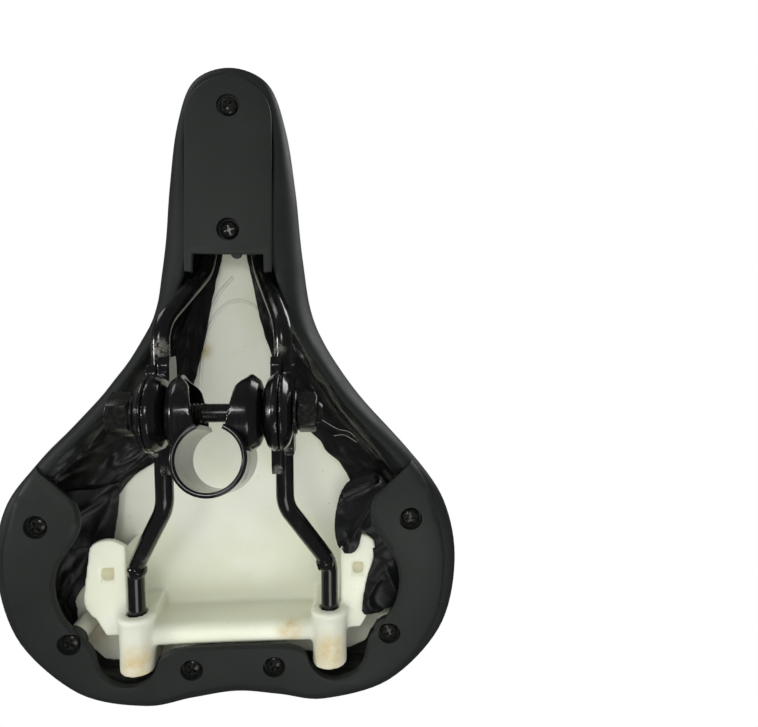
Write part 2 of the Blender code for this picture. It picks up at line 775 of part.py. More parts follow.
def make_plate(name, side, profile, channel, ends_y, origin, parent):
    """A dished round plate about the bolt with a channel for the rail along its top."""
    plate = node(
        name, about_bolt(turned(flipped(profile, side), 20, closed=True)),
        "painted_steel", origin, parent,
    )
    join(plate, rail_channel(side, *channel, ends_y, f"{name}_channel"))
    wire = circle((side * RAIL_HALF_SPACING, RAIL_Z), RAIL_RADIUS + GAP, 14)
    cut(plate, helper(f"{name}_groove", prism(wire, -0.06, 0.03, "Y")))
    bore = circle((BOLT_Y, BOLT_Z), BOLT_HOLE_RADIUS, 16)
    cut(plate, helper(f"{name}_bolt_bore", prism(bore, -0.05, 0.05, "X")))
    return plate


INNER_PROFILE = [
    (0.0172, BOLT_HOLE_RADIUS), (0.0172, 0.0090), (0.0186, 0.0125), (0.0208, 0.0142),
    (0.0228, 0.0142), (0.0228, 0.0123), (0.0209, 0.0118), (0.0196, 0.0108), (0.0192, 0.0085),
    (0.0192, BOLT_HOLE_RADIUS),
]
OUTER_PROFILE = [
    (OUTER_PLATE_FACE_X, BOLT_HOLE_RADIUS), (OUTER_PLATE_FACE_X, 0.0078), (0.0262, 0.0118),
    (0.0244, 0.0140), (0.0232, 0.0140), (0.0232, 0.0122), (0.0246, 0.0108), (0.0254, 0.0074),
    (0.0254, BOLT_HOLE_RADIUS),
]


def hexagon_mesh(x0, x1, name):
    """A chamfered hexagon about the X axis."""
    corner = HEX_FLATS / math.sqrt(3.0)
    points = circle((0.0, 0.0), corner, 6)
    hexagon = helper(name, prism(points, x0, x1, "X"))
    face, rim, chamfer = HEX_FLATS * 0.48, corner + 0.0002, 0.0009
    lens = turned(
        [(x0, 0.0), (x0, face), (x0 + chamfer, rim), (x1 - chamfer, rim), (x1, face), (x1, 0.0)], 24
    )
    boolean(hexagon, "INTERSECT", helper(f"{name}_chamfer", lens))
    bpy.context.view_layer.update()
    graph = bpy.context.evaluated_depsgraph_get()
    mesh = bpy.data.meshes.new_from_object(hexagon.evaluated_get(graph))
    bm = bmesh.new()
    bm.from_mesh(mesh)
    return bm


def make_bolt(origin, parent):
    """The clamp bolt: a hexagon head on the left, a thinner middle and a threaded right end."""
    waist, waist_end = 0.00335, 0.0085
    shank = [
        (-HEX_X - 0.004, 0.0), (-HEX_X - 0.004, BOLT_RADIUS), (-waist_end, BOLT_RADIUS),
        (-waist_end + 0.0006, waist), (waist_end - 0.0006, waist), (waist_end, BOLT_RADIUS),
        (BOLT_END_X - 0.0008, BOLT_RADIUS), (BOLT_END_X, BOLT_RADIUS - 0.0009), (BOLT_END_X, 0.0),
    ]
    bolt = node("clamp_bolt", about_bolt(turned(shank, 20)), "black_steel", origin, parent)
    head = about_bolt(hexagon_mesh(-HEX_X - HEAD_HEIGHT, -HEX_X, "bolt_head_hexagon"))
    join(bolt, helper("bolt_head", head))
    return bolt


def make_nut(origin, parent):
    nut = node(
        "clamp_nut", about_bolt(hexagon_mesh(HEX_X, HEX_X + NUT_HEIGHT, "nut_hexagon")),
        "black_steel", origin, parent,
    )
    bore = prism(circle((BOLT_Y, BOLT_Z), BOLT_HOLE_RADIUS, 20), 0.02, 0.05, "X")
    cut(nut, helper("nut_bore", bore))
    return nut


def make_washer(name, side, origin, parent):
    x0, x1 = WASHER_X, WASHER_X + WASHER_THICKNESS
    ring = [(x0, BOLT_HOLE_RADIUS), (x0, 0.0082), (x1, 0.0082), (x1, BOLT_HOLE_RADIUS)]
    bm = about_bolt(turned(flipped(ring, side), 18, closed=True))
    return node(name, bm, "black_steel", origin, parent)


def main():
    for obj in list(bpy.data.objects):
        bpy.data.objects.remove(obj)

    on_bolt = (0.0, BOLT_Y, BOLT_Z)
    tilt = pivot("tilt_axis", on_bolt)
    slide = pivot("saddle_slide_axis", (0.0, 0.0, 0.0), tilt)
    release = pivot("outer_plate_slide_axis", on_bolt, tilt)

    make_band()
    make_bolt(on_bolt, tilt)
    inner = (INNER_PROFILE, INNER_CHANNEL_X, INNER_CHANNEL_Y, on_bolt)
    outer = (OUTER_PROFILE, OUTER_CHANNEL_X, OUTER_CHANNEL_Y, on_bolt)
    make_plate("inner_plate_left", -1.0, *inner, tilt)
    make_plate("inner_plate_right", 1.0, *inner, tilt)
    make_plate("outer_plate_left", -1.0, *outer, tilt)
    make_washer("washer_left", -1.0, on_bolt, tilt)

    make_plate("outer_plate_right", 1.0, *outer, release)
    make_washer("washer_right", 1.0, on_bolt, release)
    make_nut(on_bolt, release)

    ribs = make_ribs(2)
    screws = {**NOSE_SCREWS, **rear_screws()}
    make_cover(ribs, slide)
    make_foam(ribs, slide)
    make_shell(ribs, slide, screws)
    make_nose_cover(slide)
    make_rear_cover(ribs, rear_screws(), slide)
    make_screws(screws, slide)
    make_rail(slide)


main()
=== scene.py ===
"""Looks of the bicycle saddle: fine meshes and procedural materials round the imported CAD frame."""

import math

import bmesh
import bpy
from mathutils import Matrix, Vector, noise
from mathutils.bvhtree import BVHTree


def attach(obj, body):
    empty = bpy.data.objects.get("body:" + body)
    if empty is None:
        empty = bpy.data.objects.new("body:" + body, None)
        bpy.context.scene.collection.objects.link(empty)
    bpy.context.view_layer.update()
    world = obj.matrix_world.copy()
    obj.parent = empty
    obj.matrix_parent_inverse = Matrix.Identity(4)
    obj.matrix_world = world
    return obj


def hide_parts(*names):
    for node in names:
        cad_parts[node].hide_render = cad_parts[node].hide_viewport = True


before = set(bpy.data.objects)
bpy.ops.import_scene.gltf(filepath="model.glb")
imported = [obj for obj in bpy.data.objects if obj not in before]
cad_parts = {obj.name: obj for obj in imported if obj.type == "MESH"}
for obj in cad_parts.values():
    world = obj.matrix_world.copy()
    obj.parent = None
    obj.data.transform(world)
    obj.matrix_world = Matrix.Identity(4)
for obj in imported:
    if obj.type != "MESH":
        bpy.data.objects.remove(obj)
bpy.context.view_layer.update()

# ---- Dimensions, as in the CAD, in metres --------------------------------------------------

GAP = 0.0003
OUTLINE = [
    (0.0, -0.154), (0.0152, -0.148), (0.0222, -0.130), (0.0260, -0.104), (0.0290, -0.076),
    (0.0342, -0.047), (0.0505, -0.0205), (0.073, 0.0045), (0.0875, 0.025), (0.0925, 0.052),
    (0.087, 0.083), (0.066, 0.106), (0.038, 0.1135), (0.018, 0.1107), (0.0, 0.1085),
]
NOSE_TIP_Y = -0.154
REAR_LOBE = (0.038, 0.1135)
SPINE_FRONT_Y = -0.128
SPINE_REAR_Y = 0.080
NOSE_TOP_Z = 0.0645
REAR_TOP_RISE = 0.0145
NOSE_WIDEST_Z = 0.048
WING_WIDEST_Z = 0.0265
REAR_WIDEST_RISE = 0.008
COVER_THICKNESS = 0.0012
FOAM_EDGE_DROP = 0.0022
DOME_POWER = 3.0
SHELL_TOP_Z = 0.056
SHELL_THICKNESS = 0.0026
PANEL_SLOPE = 0.1
PANEL_REAR_Y = -0.076
PANEL_REAR_Z = 0.0317
PANEL_THICKNESS = 0.0024
PANEL_HALF_WIDTH = 0.0174
REAR_COVER_THICKNESS = 0.0026
ARM_FRONT_Y = 0.007
WING_RIM_Z = 0.0219
REAR_RIM_RISE = 0.0075
RAIL_RADIUS = 0.0035
RAIL_BEND_RADIUS = 0.014
NOSE_BEND_RADIUS = 0.0089
NOSE_RAIL_Z = 0.047
RAIL_HALF_SPACING = 0.023
SOCKET_X = 0.0398
SOCKET_Z = 0.031
SOCKET_RADIUS = 0.0072
SOCKET_MOUTH_Y = 0.0715
RAIL_END_Y = 0.093
SOCKET_END_Y = 0.0955
CROSS_RIB_Y = 0.0815
CROSS_RIB_Z = 0.0325
EAR_Z = (0.0326, 0.0358)
EAR_WINDOW_X = 0.052
EAR_WINDOW_HALF = 0.0029
EAR_WINDOW_Y = (0.0525, 0.059)
SHELL_BOSS_RADIUS = 0.004
CEILING_Z = 0.060
POST_RADIUS = 0.0111
STRAP_THICKNESS = 0.0019
STRAP_HEIGHT = 0.028
POST_LEAN = math.radians(13.0)
BOLT_OFFSET = 0.0165
BOLT_Y = -BOLT_OFFSET * math.cos(POST_LEAN)
BOLT_Z = BOLT_OFFSET * math.sin(POST_LEAN)
BOLT_RADIUS = 0.004
BOLT_HOLE_RADIUS = BOLT_RADIUS + GAP
HEX_FLATS = 0.013
HEAD_HEIGHT = 0.0085
NUT_HEIGHT = 0.0070
WASHER_THICKNESS = 0.0012
OUTER_PLATE_FACE_X = 0.0274
INNER_CHANNEL_X = (0.0185, 0.0228)
INNER_CHANNEL_Y = (BOLT_Y - 0.020, BOLT_Y + 0.025)
OUTER_CHANNEL_X = (0.0232, 0.0271)
OUTER_CHANNEL_Y = (BOLT_Y - 0.017, BOLT_Y + 0.018)
WASHER_X = OUTER_PLATE_FACE_X + GAP
HEX_X = WASHER_X + WASHER_THICKNESS + GAP
BOLT_END_X = 0.0382
RAIL_Z = BOLT_Z + 0.0125
SCREW_HEAD_RADIUS = 0.0037
SCREW_HEAD_HEIGHT = 0.0018
SCREW_SHANK_RADIUS = 0.0017
SCREW_LENGTH = 0.011
RECESS_RADIUS = 0.0046
SCREW_HOLE_RADIUS = SCREW_SHANK_RADIUS + GAP
NOSE_SCREWS = {"nose_screw_front": (0.0, -0.1361), "nose_screw_rear": (0.0, -0.0861)}
REAR_SCREW_SPOTS = [(0.0728, 0.030), (0.0647, 0.0807), (0.0168, 0.0942)]
RECESS_DEPTHS = {"nose_screw_front": 0.0021, "nose_screw_rear": 0.0036}
REAR_RECESS_DEPTH = 0.0023

# Where the turned-in edge of the cover ends on the shell's inner face, front to rear.
LEFT_EDGE = [
    (-0.0050, -0.0860), (-0.0078, -0.0773), (-0.0125, -0.0625), (-0.0146, -0.0538),
    (-0.0172, -0.0425), (-0.0206, -0.0320), (-0.0240, -0.0200), (-0.0302, -0.0011),
    (-0.0398, 0.0116), (-0.0516, 0.0195), (-0.0590, 0.0300), (-0.0620, 0.0430),
    (-0.0655, 0.0560), (-0.0690, 0.0630), (-0.0745, 0.0680), (-0.0775, 0.0740), (-0.0765, 0.0850),
    (-0.0720, 0.0950), (-0.0620, 0.1030), (-0.0400, 0.1060), (-0.0200, 0.1050), (0.0100, 0.1045),
]
RIGHT_EDGE = [
    (0.0040, -0.0860), (0.0060, -0.0774), (0.0091, -0.0652), (0.0124, -0.0512), (0.0158, -0.0415),
    (0.0270, -0.0139), (0.0358, -0.0013), (0.0420, 0.0041), (0.0455, 0.0095), (0.0527, 0.0173),
    (0.0570, 0.0290), (0.0620, 0.0420), (0.0660, 0.0560), (0.0705, 0.0690), (0.0720, 0.0790),
    (0.0680, 0.0900), (0.0600, 0.1010), (0.0400, 0.1060), (0.0200, 0.1050), (-0.0100, 0.1045),
]

# ---- Profiles along the saddle -------------------------------------------------------------


def smooth(low, high, value):
    """0 below low, 1 above high, and an S-curve between."""
    share = min(max((value - low) / (high - low), 0.0), 1.0)
    return share * share * (3.0 - 2.0 * share)


def mix(first, second, share):
    return first + (second - first) * share


def panel_z(y):
    return PANEL_REAR_Z + PANEL_SLOPE * (PANEL_REAR_Y - y)


def rim_z(y):
    over_panel = panel_z(y) + PANEL_THICKNESS + GAP
    wing = WING_RIM_Z + REAR_RIM_RISE * smooth(0.030, 0.105, y)
    return mix(over_panel, wing, smooth(-0.070, 0.010, y))


def widest_z(y):
    wing = WING_WIDEST_Z + REAR_WIDEST_RISE * smooth(0.035, 0.105, y)
    return mix(NOSE_WIDEST_Z, wing, smooth(-0.060, 0.025, y))


def rim_inset(y):
    nose = mix(0.0042, 0.0110, smooth(-0.140, -0.076, y))
    return mix(nose, 0.0050, smooth(-0.084, -0.030, y))


def top_z(y):
    return NOSE_TOP_Z + REAR_TOP_RISE * smooth(-0.060, 0.095, y)


def shell_inset(y):
    return mix(0.0042, 0.0065, smooth(-0.060, 0.030, y))


def shell_rim_z(y):
    return widest_z(y) - FOAM_EDGE_DROP


def plate_z(y):
    """Underside of the rear cover."""
    return rim_z(y) - GAP - REAR_COVER_THICKNESS


def screw_seat_z(name, y):
    if name in RECESS_DEPTHS:
        return panel_z(y) + RECESS_DEPTHS[name]
    return plate_z(y) + REAR_RECESS_DEPTH


def rear_screws():
    spots = [*REAR_SCREW_SPOTS, *[(-x, y) for x, y in reversed(REAR_SCREW_SPOTS)]]
    return {f"rear_screw_{i + 1}": spot for i, spot in enumerate(spots)}


ALL_SCREWS = {**NOSE_SCREWS, **rear_screws()}

# ---- Curves --------------------------------------------------------------------------------


def catmull_rom(before, start, end, after, share):
    linear = (end - before) * share
    square = (2.0 * before - 5.0 * start + 4.0 * end - after) * share**2
    cube = (3.0 * start - before - 3.0 * end + after) * share**3
    return start + 0.5 * (linear + square + cube)


def spline(points, steps):
    """A smooth open curve through the points."""
    points = [Vector(point) for point in points]
    padded = [points[0] * 2.0 - points[1], *points, points[-1] * 2.0 - points[-2]]
    curve = []
    for i in range(1, len(padded) - 2):
        curve += [catmull_rom(*padded[i - 1 : i + 3], step / steps) for step in range(steps)]
    return [*curve, points[-1]]


def evenly(path, count):
    """This many points, evenly along a path."""
    lengths = [0.0]
    for first, second in zip(path, path[1:]):
        lengths.append(lengths[-1] + (second - first).length)
    points = []
    i = 0
    for step in range(count):
        target = lengths[-1] * step / (count - 1)
        while i < len(path) - 2 and lengths[i + 1] < target:
            i += 1
        share = (target - lengths[i]) / (lengths[i + 1] - lengths[i])
        points.append(path[i].lerp(path[i + 1], share))
    return points


def mirrored_outline(steps):
    """The closed plan outline, anticlockwise from above, starting at the nose tip."""
    tip, notch = Vector(OUTLINE[0]), Vector(OUTLINE[-1])
    before = Vector((-OUTLINE[1][0], OUTLINE[1][1]))
    after = Vector((-OUTLINE[-2][0], OUTLINE[-2][1]))
    points = [before, tip, *[Vector(point) for point in OUTLINE[1:-1]], notch, after]
    half = []
    for i in range(1, len(points) - 2):
        half += [catmull_rom(*points[i - 1 : i + 3], step / steps) for step in range(steps)]
    left = [Vector((-point.x, point.y)) for point in reversed(half[1:])]
    return [*half, notch, *left]


def filleted(corners, radius, steps):
    """A wire's centre line: straight runs joined by round bends of this radius."""
    corners = [Vector(corner) for corner in corners]
    path = [corners[0]]
    for before, corner, after in zip(corners, corners[1:], corners[2:]):
        incoming = (corner - before).normalized()
        outgoing = (after - corner).normalized()
        turn = incoming.angle(outgoing)
        reach = radius * math.tan(turn / 2.0)
        start = corner - incoming * reach
        inward = (outgoing - incoming * incoming.dot(outgoing)).normalized()
        centre = start + inward * radius
        for step in range(steps + 1):
            angle = turn * step / steps
            path.append(centre + radius * (incoming * math.sin(angle) - inward * math.cos(angle)))
    return [*path, corners[-1]]


def rounded(points, passes, closed=True):
    """Cuts the corners of a polygon, once for each pass."""
    points = [Vector(point) for point in points]
    for _ in range(passes):
        cut = []
        pairs = list(zip(points, points[1:] + points[:1])) if closed else list(zip(points, points[1:]))
        for first, second in pairs:
            cut += [first.lerp(second, 0.25), first.lerp(second, 0.75)]
        points = cut if closed else [points[0], *cut, points[-1]]
    return [tuple(point) for point in points]


class Rib:
    """One line across the crown, from the ridge out to the plan outline."""

    def __init__(self, edge, normal):
        self.edge = edge
        share = min((edge.y - NOSE_TIP_Y) / (REAR_LOBE[1] - NOSE_TIP_Y), 1.0)
        if edge.y > 0.0 and abs(edge.x) < REAR_LOBE[0]:
            share = 1.0
        self.root = Vector((0.0, mix(SPINE_FRONT_Y, SPINE_REAR_Y, share)))
        self.inward = (self.root - edge).normalized()
        self.slant = max(self.inward.dot(normal), 0.5)

    def point(self, inset, share=1.0):
        """The point at this share of the way out to the outline moved inward by inset."""
        outer = self.edge + self.inward * (inset / self.slant)
        return self.root.lerp(outer, share)


def make_ribs(steps):
    outline = mirrored_outline(steps)
    count = len(outline)
    ribs = []
    for i, edge in enumerate(outline):
        along = (outline[(i + 1) % count] - outline[i - 1]).normalized()
        ribs.append(Rib(edge, Vector((-along.y, along.x))))
    return ribs


def dome_height(share):
    """Height of the dome, 0 to 1, at this share of the way out."""
    return max(1.0 - share**DOME_POWER, 0.0) ** (1.0 / DOME_POWER)


def dome_rings(ribs, inset, top, base, steps):
    """Rings of a crowned dome, from its ridge out to its edge at the height base(y)."""
    rings = []
    for step in range(steps + 1):
        angle = math.pi / 2.0 * step / steps
        share = math.sin(angle) ** (2.0 / DOME_POWER)
        height = max(math.cos(angle), 0.0) ** (2.0 / DOME_POWER)
        ring = []
        for rib in ribs:
            place = rib.point(inset(rib.edge.y), share)
            low = base(rib.edge.y)
            ring.append(Vector((place.x, place.y, low + (top(place.y) - low) * height)))
        rings.append(ring)
    return rings


def shell_wall(ribs, depth, steps):
    return dome_rings(
        ribs, lambda y: shell_inset(y) + depth, lambda y: SHELL_TOP_Z - depth, shell_rim_z, steps
    )


# ---- Mesh helpers --------------------------------------------------------------------------


def loft(rings, closed_ends=True):
    """A surface through the rings, which are in order from the top's ridge outward and down."""
    bm = bmesh.new()
    rows = [[bm.verts.new(point) for point in ring] for ring in rings]
    for inner, outer in zip(rows, rows[1:]):
        for i in range(len(inner)):
            j = (i + 1) % len(inner)
            bm.faces.new((inner[i], outer[i], outer[j], inner[j]))
    bmesh.ops.remove_doubles(bm, verts=bm.verts, dist=1e-6)
    if closed_ends:
        bmesh.ops.recalc_face_normals(bm, faces=bm.faces)
    return bm


def grid(rows):
    """An open sheet through rows of points."""
    bm = bmesh.new()
    verts = [[bm.verts.new(point) for point in row] for row in rows]
    for first, second in zip(verts, verts[1:]):
        for i in range(len(first) - 1):
            bm.faces.new((first[i], first[i + 1], second[i + 1], second[i]))
    return bm


def prism(points, low, high, axis="Z"):
    """A polygon in the plane across axis, extruded from low to high along it."""
    place = {
        "Z": lambda a, b, c: (a, b, c),
        "Y": lambda a, b, c: (a, c, b),
        "X": lambda a, b, c: (c, a, b),
    }[axis]
    bm = bmesh.new()
    face = bm.faces.new([bm.verts.new(place(a, b, low)) for a, b in points])
    sweep = Vector(place(0.0, 0.0, high - low))
    extruded = bmesh.ops.extrude_face_region(bm, geom=[face])
    moved = [item for item in extruded["geom"] if isinstance(item, bmesh.types.BMVert)]
    bmesh.ops.translate(bm, verts=moved, vec=sweep)
    bmesh.ops.recalc_face_normals(bm, faces=bm.faces)
    return bm


def arc(centre, radius, start, end, steps):
    angles = [math.radians(mix(start, end, step / steps)) for step in range(steps + 1)]
    return [(centre[0] + radius * math.cos(a), centre[1] + radius * math.sin(a)) for a in angles]


def circle(centre, radius, sides):
    return arc(centre, radius, 0.0, 360.0, sides)[:-1]


def box_outline(x0, x1, y0, y1):
    return [(x0, y0), (x1, y0), (x1, y1), (x0, y1)]


def turned(profile, segments, closed=False):
    """A profile of (distance along X, radius) points, turned about the X axis."""
    bm = bmesh.new()
    verts = [bm.verts.new((x, radius, 0.0)) for x, radius in profile]
    pairs = list(zip(verts, verts[1:]))
    if closed:
        pairs.append((verts[-1], verts[0]))
    edges = [bm.edges.new(pair) for pair in pairs]
    bmesh.ops.spin(
        bm, geom=[*verts, *edges], cent=(0, 0, 0), axis=(1, 0, 0),
        angle=2.0 * math.pi, steps=segments, use_merge=True,
    )
    bmesh.ops.remove_doubles(bm, verts=bm.verts, dist=1e-6)
    bmesh.ops.recalc_face_normals(bm, faces=bm.faces)
    return bm


def mesh_object(name, bm):
    mesh = bpy.data.meshes.new(name)
    bm.to_mesh(mesh)
    bm.free()
    obj = bpy.data.objects.new(name, mesh)
    bpy.context.scene.collection.objects.link(obj)
    return obj


def apply_modifiers(obj):
    """Replaces an object's mesh with what its modifiers make of it."""
    bpy.context.view_layer.update()
    graph = bpy.context.evaluated_depsgraph_get()
    mesh = bpy.data.meshes.new_from_object(obj.evaluated_get(graph))
    obj.modifiers.clear()
    old = obj.data
    obj.data = mesh
    bpy.data.meshes.remove(old)


def boolean(obj, operation, *bms):
    """Cuts, joins or intersects an object with closed meshes, one after the other."""
    for bm in bms:
        other = mesh_object("tool", bm)
        modifier = obj.modifiers.new("boolean", "BOOLEAN")
        modifier.operation = operation
        modifier.solver = "EXACT"
        modifier.object = other
        apply_modifiers(obj)
        bpy.data.objects.remove(other)


def add_modifier(obj, kind, **values):
    modifier = obj.modifiers.new(kind.lower(), kind)
    for key, value in values.items():
        setattr(modifier, key, value)
    apply_modifiers(obj)


def soften(obj, voxel, passes):
    """Gives a moulded or stamped piece its rounded edges: a fine remesh, then smoothing."""
    add_modifier(obj, "REMESH", mode="VOXEL", voxel_size=voxel)
    add_modifier(obj, "SMOOTH", factor=0.5, iterations=passes)


def merged(bms):
    """One mesh with all of these in it."""
    bm = bmesh.new()
    for part in bms:
        mesh = bpy.data.meshes.new("part")
        part.to_mesh(mesh)
        part.free()
        bm.from_mesh(mesh)
        bpy.data.meshes.remove(mesh)
    return bm


def piece(obj, finish, body, nodes=(), smooth_angle=40.0):
    """Gives a finished mesh its material, its body and the CAD it stands for."""
    obj.data.materials.clear()
    obj.data.materials.append(finish)
    obj.data.shade_smooth()
    if smooth_angle:
        obj.data.set_sharp_from_angle(angle=math.radians(smooth_angle))
    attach(obj, body)
    if nodes:
        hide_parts(*nodes)
    return obj


# ---- Materials -----------------------------------------------------------------------------


class Finish:
    """A Principled material with short ways to add its procedural nodes."""

    def __init__(self, name, colour, roughness, **values):
        self.made = bpy.data.materials.new(name)
        self.made.use_nodes = True
        self.tree = self.made.node_tree
        self.shader = self.tree.nodes["Principled BSDF"]
        self.shader.inputs["Base Color"].default_value = (*colour, 1.0)
        self.shader.inputs["Roughness"].default_value = roughness
        for key, value in values.items():
            self.shader.inputs[key.replace("_", " ")].default_value = value
        self.place = self.add("TexCoord").outputs["Object"]

    def add(self, kind, values=None, **settings):
        node = self.tree.nodes.new("ShaderNode" + kind)
        for key, value in settings.items():
            setattr(node, key, value)
        for key, value in (values or {}).items():
            if isinstance(value, bpy.types.NodeSocket):
                self.tree.links.new(value, node.inputs[key])
            else:
                node.inputs[key].default_value = value
        return node

    def link(self, socket, name):
        self.tree.links.new(socket, self.shader.inputs[name])

    def noise(self, scale, detail=3.0, roughness=0.5, place=None):
        values = {
            "Vector": place or self.place, "Scale": scale, "Detail": detail, "Roughness": roughness,
        }
        return self.add("TexNoise", values).outputs["Fac"]

    def cells(self, scale, feature="F1"):
        made = self.add("TexVoronoi", {"Vector": self.place, "Scale": scale}, feature=feature)
        return made.outputs["Distance"]

    def stretched(self, x, y, z):
        values = {"Vector": self.place, "Scale": (x, y, z)}
        return self.add("Mapping", values).outputs["Vector"]

    def math(self, operation, first, second=0.0, clamp=False):
        return self.add(
            "Math", {0: first, 1: second}, operation=operation, use_clamp=clamp
        ).outputs[0]

    def ramp(self, value, low, high, start=0.0, end=1.0):
        """Maps low..high to start..end, smoothly and clamped."""
        values = {
            "Value": value, "From Min": low, "From Max": high, "To Min": start, "To Max": end,
        }
        return self.add("MapRange", values, interpolation_type="SMOOTHSTEP").outputs["Result"]

    def blend(self, share, first, second):
        """A colour between two colours or colour sockets."""
        made = self.add("Mix", data_type="RGBA")
        for socket, value in ((made.inputs[0], share), (made.inputs[6], first), (made.inputs[7], second)):
            if isinstance(value, bpy.types.NodeSocket):
                self.tree.links.new(value, socket)
            elif isinstance(value, tuple):
                socket.default_value = (*value, 1.0)
            else:
                socket.default_value = value
        return made.outputs[2]

    def near(self, point, inner, outer):
        """1 within inner of a point, and 0 beyond outer."""
        gap = self.add("VectorMath", {0: self.place, 1: point}, operation="DISTANCE")
        return self.ramp(gap.outputs["Value"], inner, outer, 1.0, 0.0)

    def bump(self, height, distance, strength=1.0):
        values = {"Height": height, "Distance": distance, "Strength": strength}
        normal = self.add("Bump", values).outputs["Normal"]
        self.link(normal, "Normal")


STRIPES = [(-0.083, 0.0045), (-0.072, 0.005), (-0.057, 0.0064), (-0.041, 0.0072), (-0.025, 0.008),
           (0.025, 0.008), (0.041, 0.0072), (0.057, 0.0064), (0.072, 0.005), (0.085, 0.004)]


def leather(name, stripes=False):
    """Matte black synthetic leather with a fine grain, and smoother stripes where it has them."""
    made = Finish(name, (0.012, 0.014, 0.013), 0.55, Specular_IOR_Level=0.30)
    mottle = made.noise(55.0, 4.0, 0.6)
    dust = made.ramp(made.noise(900.0, 2.0), 0.66, 0.76)
    colour = made.blend(mottle, (0.0100, 0.0125, 0.0112), (0.0155, 0.0187, 0.0168))
    colour = made.blend(made.math("MULTIPLY", dust, 0.25), colour, (0.07, 0.07, 0.065))
    rough = made.ramp(mottle, 0.3, 0.7, 0.50, 0.60)
    grain = made.math("ADD", made.cells(1500.0), made.math("MULTIPLY", made.noise(3200.0, 2.0), 0.7))
    if stripes:
        across = made.add("Attribute", attribute_name="stripe_across").outputs["Fac"]
        fade = made.add("Attribute", attribute_name="stripe_fade").outputs["Fac"]
        band = 0.0
        for centre, width in STRIPES:
            apart = made.math("ABSOLUTE", made.math("SUBTRACT", across, centre))
            inside = made.ramp(apart, width / 2 - 0.0003, width / 2 + 0.0003, 1.0, 0.0)
            band = made.math("MAXIMUM", inside, band)
        band = made.math("MULTIPLY", band, fade)
        worn = made.ramp(made.noise(26.0, 2.0), 0.35, 0.65, 0.55, 1.0)
        band = made.math("MULTIPLY", band, worn)
        colour = made.blend(band, colour, (0.0075, 0.0085, 0.0090))
        rough = made.math("SUBTRACT", rough, made.math("MULTIPLY", band, 0.20))
        flatter = made.math("SUBTRACT", 1.0, made.math("MULTIPLY", band, 0.7))
        grain = made.math("MULTIPLY", grain, flatter)
    made.link(colour, "Base Color")
    made.link(rough, "Roughness")
    made.bump(grain, 0.00009, 0.55)
    return made.made


def lining_leather():
    """The glossier back edge of the skin, creased and nearly black."""
    made = Finish("turned_leather", (0.0045, 0.0055, 0.0052), 0.36, Specular_IOR_Level=0.34)
    mottle = made.noise(60.0, 4.0, 0.6)
    colour = made.blend(mottle, (0.0035, 0.0045, 0.0042), (0.0075, 0.0085, 0.0080))
    fibres = made.ramp(made.noise(900.0, 3.0), 0.70, 0.78)
    colour = made.blend(made.math("MULTIPLY", fibres, 0.20), colour, (0.08, 0.08, 0.075))
    made.link(colour, "Base Color")
    made.link(made.ramp(mottle, 0.3, 0.7, 0.26, 0.42), "Roughness")
    creases = made.noise(170.0, 5.0, 0.6)
    made.bump(creases, 0.0009, 0.30)
    return made.made


def red_vinyl():
    made = Finish("red_vinyl", (0.62, 0.012, 0.022), 0.42)
    mottle = made.noise(70.0, 4.0, 0.6)
    colour = made.blend(mottle, (0.50, 0.010, 0.018), (0.70, 0.016, 0.028))
    specks = made.ramp(made.noise(700.0, 2.0), 0.70, 0.78)
    colour = made.blend(made.math("MULTIPLY", specks, 0.35), colour, (0.75, 0.18, 0.17))
    made.link(colour, "Base Color")
    made.link(made.ramp(mottle, 0.3, 0.7, 0.36, 0.50), "Roughness")
    grain = made.math("ADD", made.cells(1700.0), made.noise(3000.0, 2.0))
    made.bump(grain, 0.00006, 0.5)
    return made.made


def moulded_black():
    """Matte black moulded plastic with a spark-eroded texture."""
    made = Finish("moulded_black", (0.016, 0.018, 0.0165), 0.5, Specular_IOR_Level=0.35)
    mottle = made.noise(38.0, 4.0, 0.6)
    colour = made.blend(mottle, (0.0115, 0.0142, 0.0122), (0.0175, 0.0208, 0.0182))
    scuffs = made.ramp(made.noise(240.0, 5.0, 0.7, made.stretched(1.0, 0.25, 1.0)), 0.64, 0.74)
    colour = made.blend(made.math("MULTIPLY", scuffs, 0.2), colour, (0.07, 0.07, 0.07))
    made.link(colour, "Base Color")
    made.link(made.ramp(mottle, 0.3, 0.7, 0.46, 0.60), "Roughness")
    texture = made.math("ADD", made.noise(2600.0, 3.0), made.math("MULTIPLY", made.cells(1900.0), 0.5))
    made.bump(texture, 0.00006, 0.5)
    return made.made


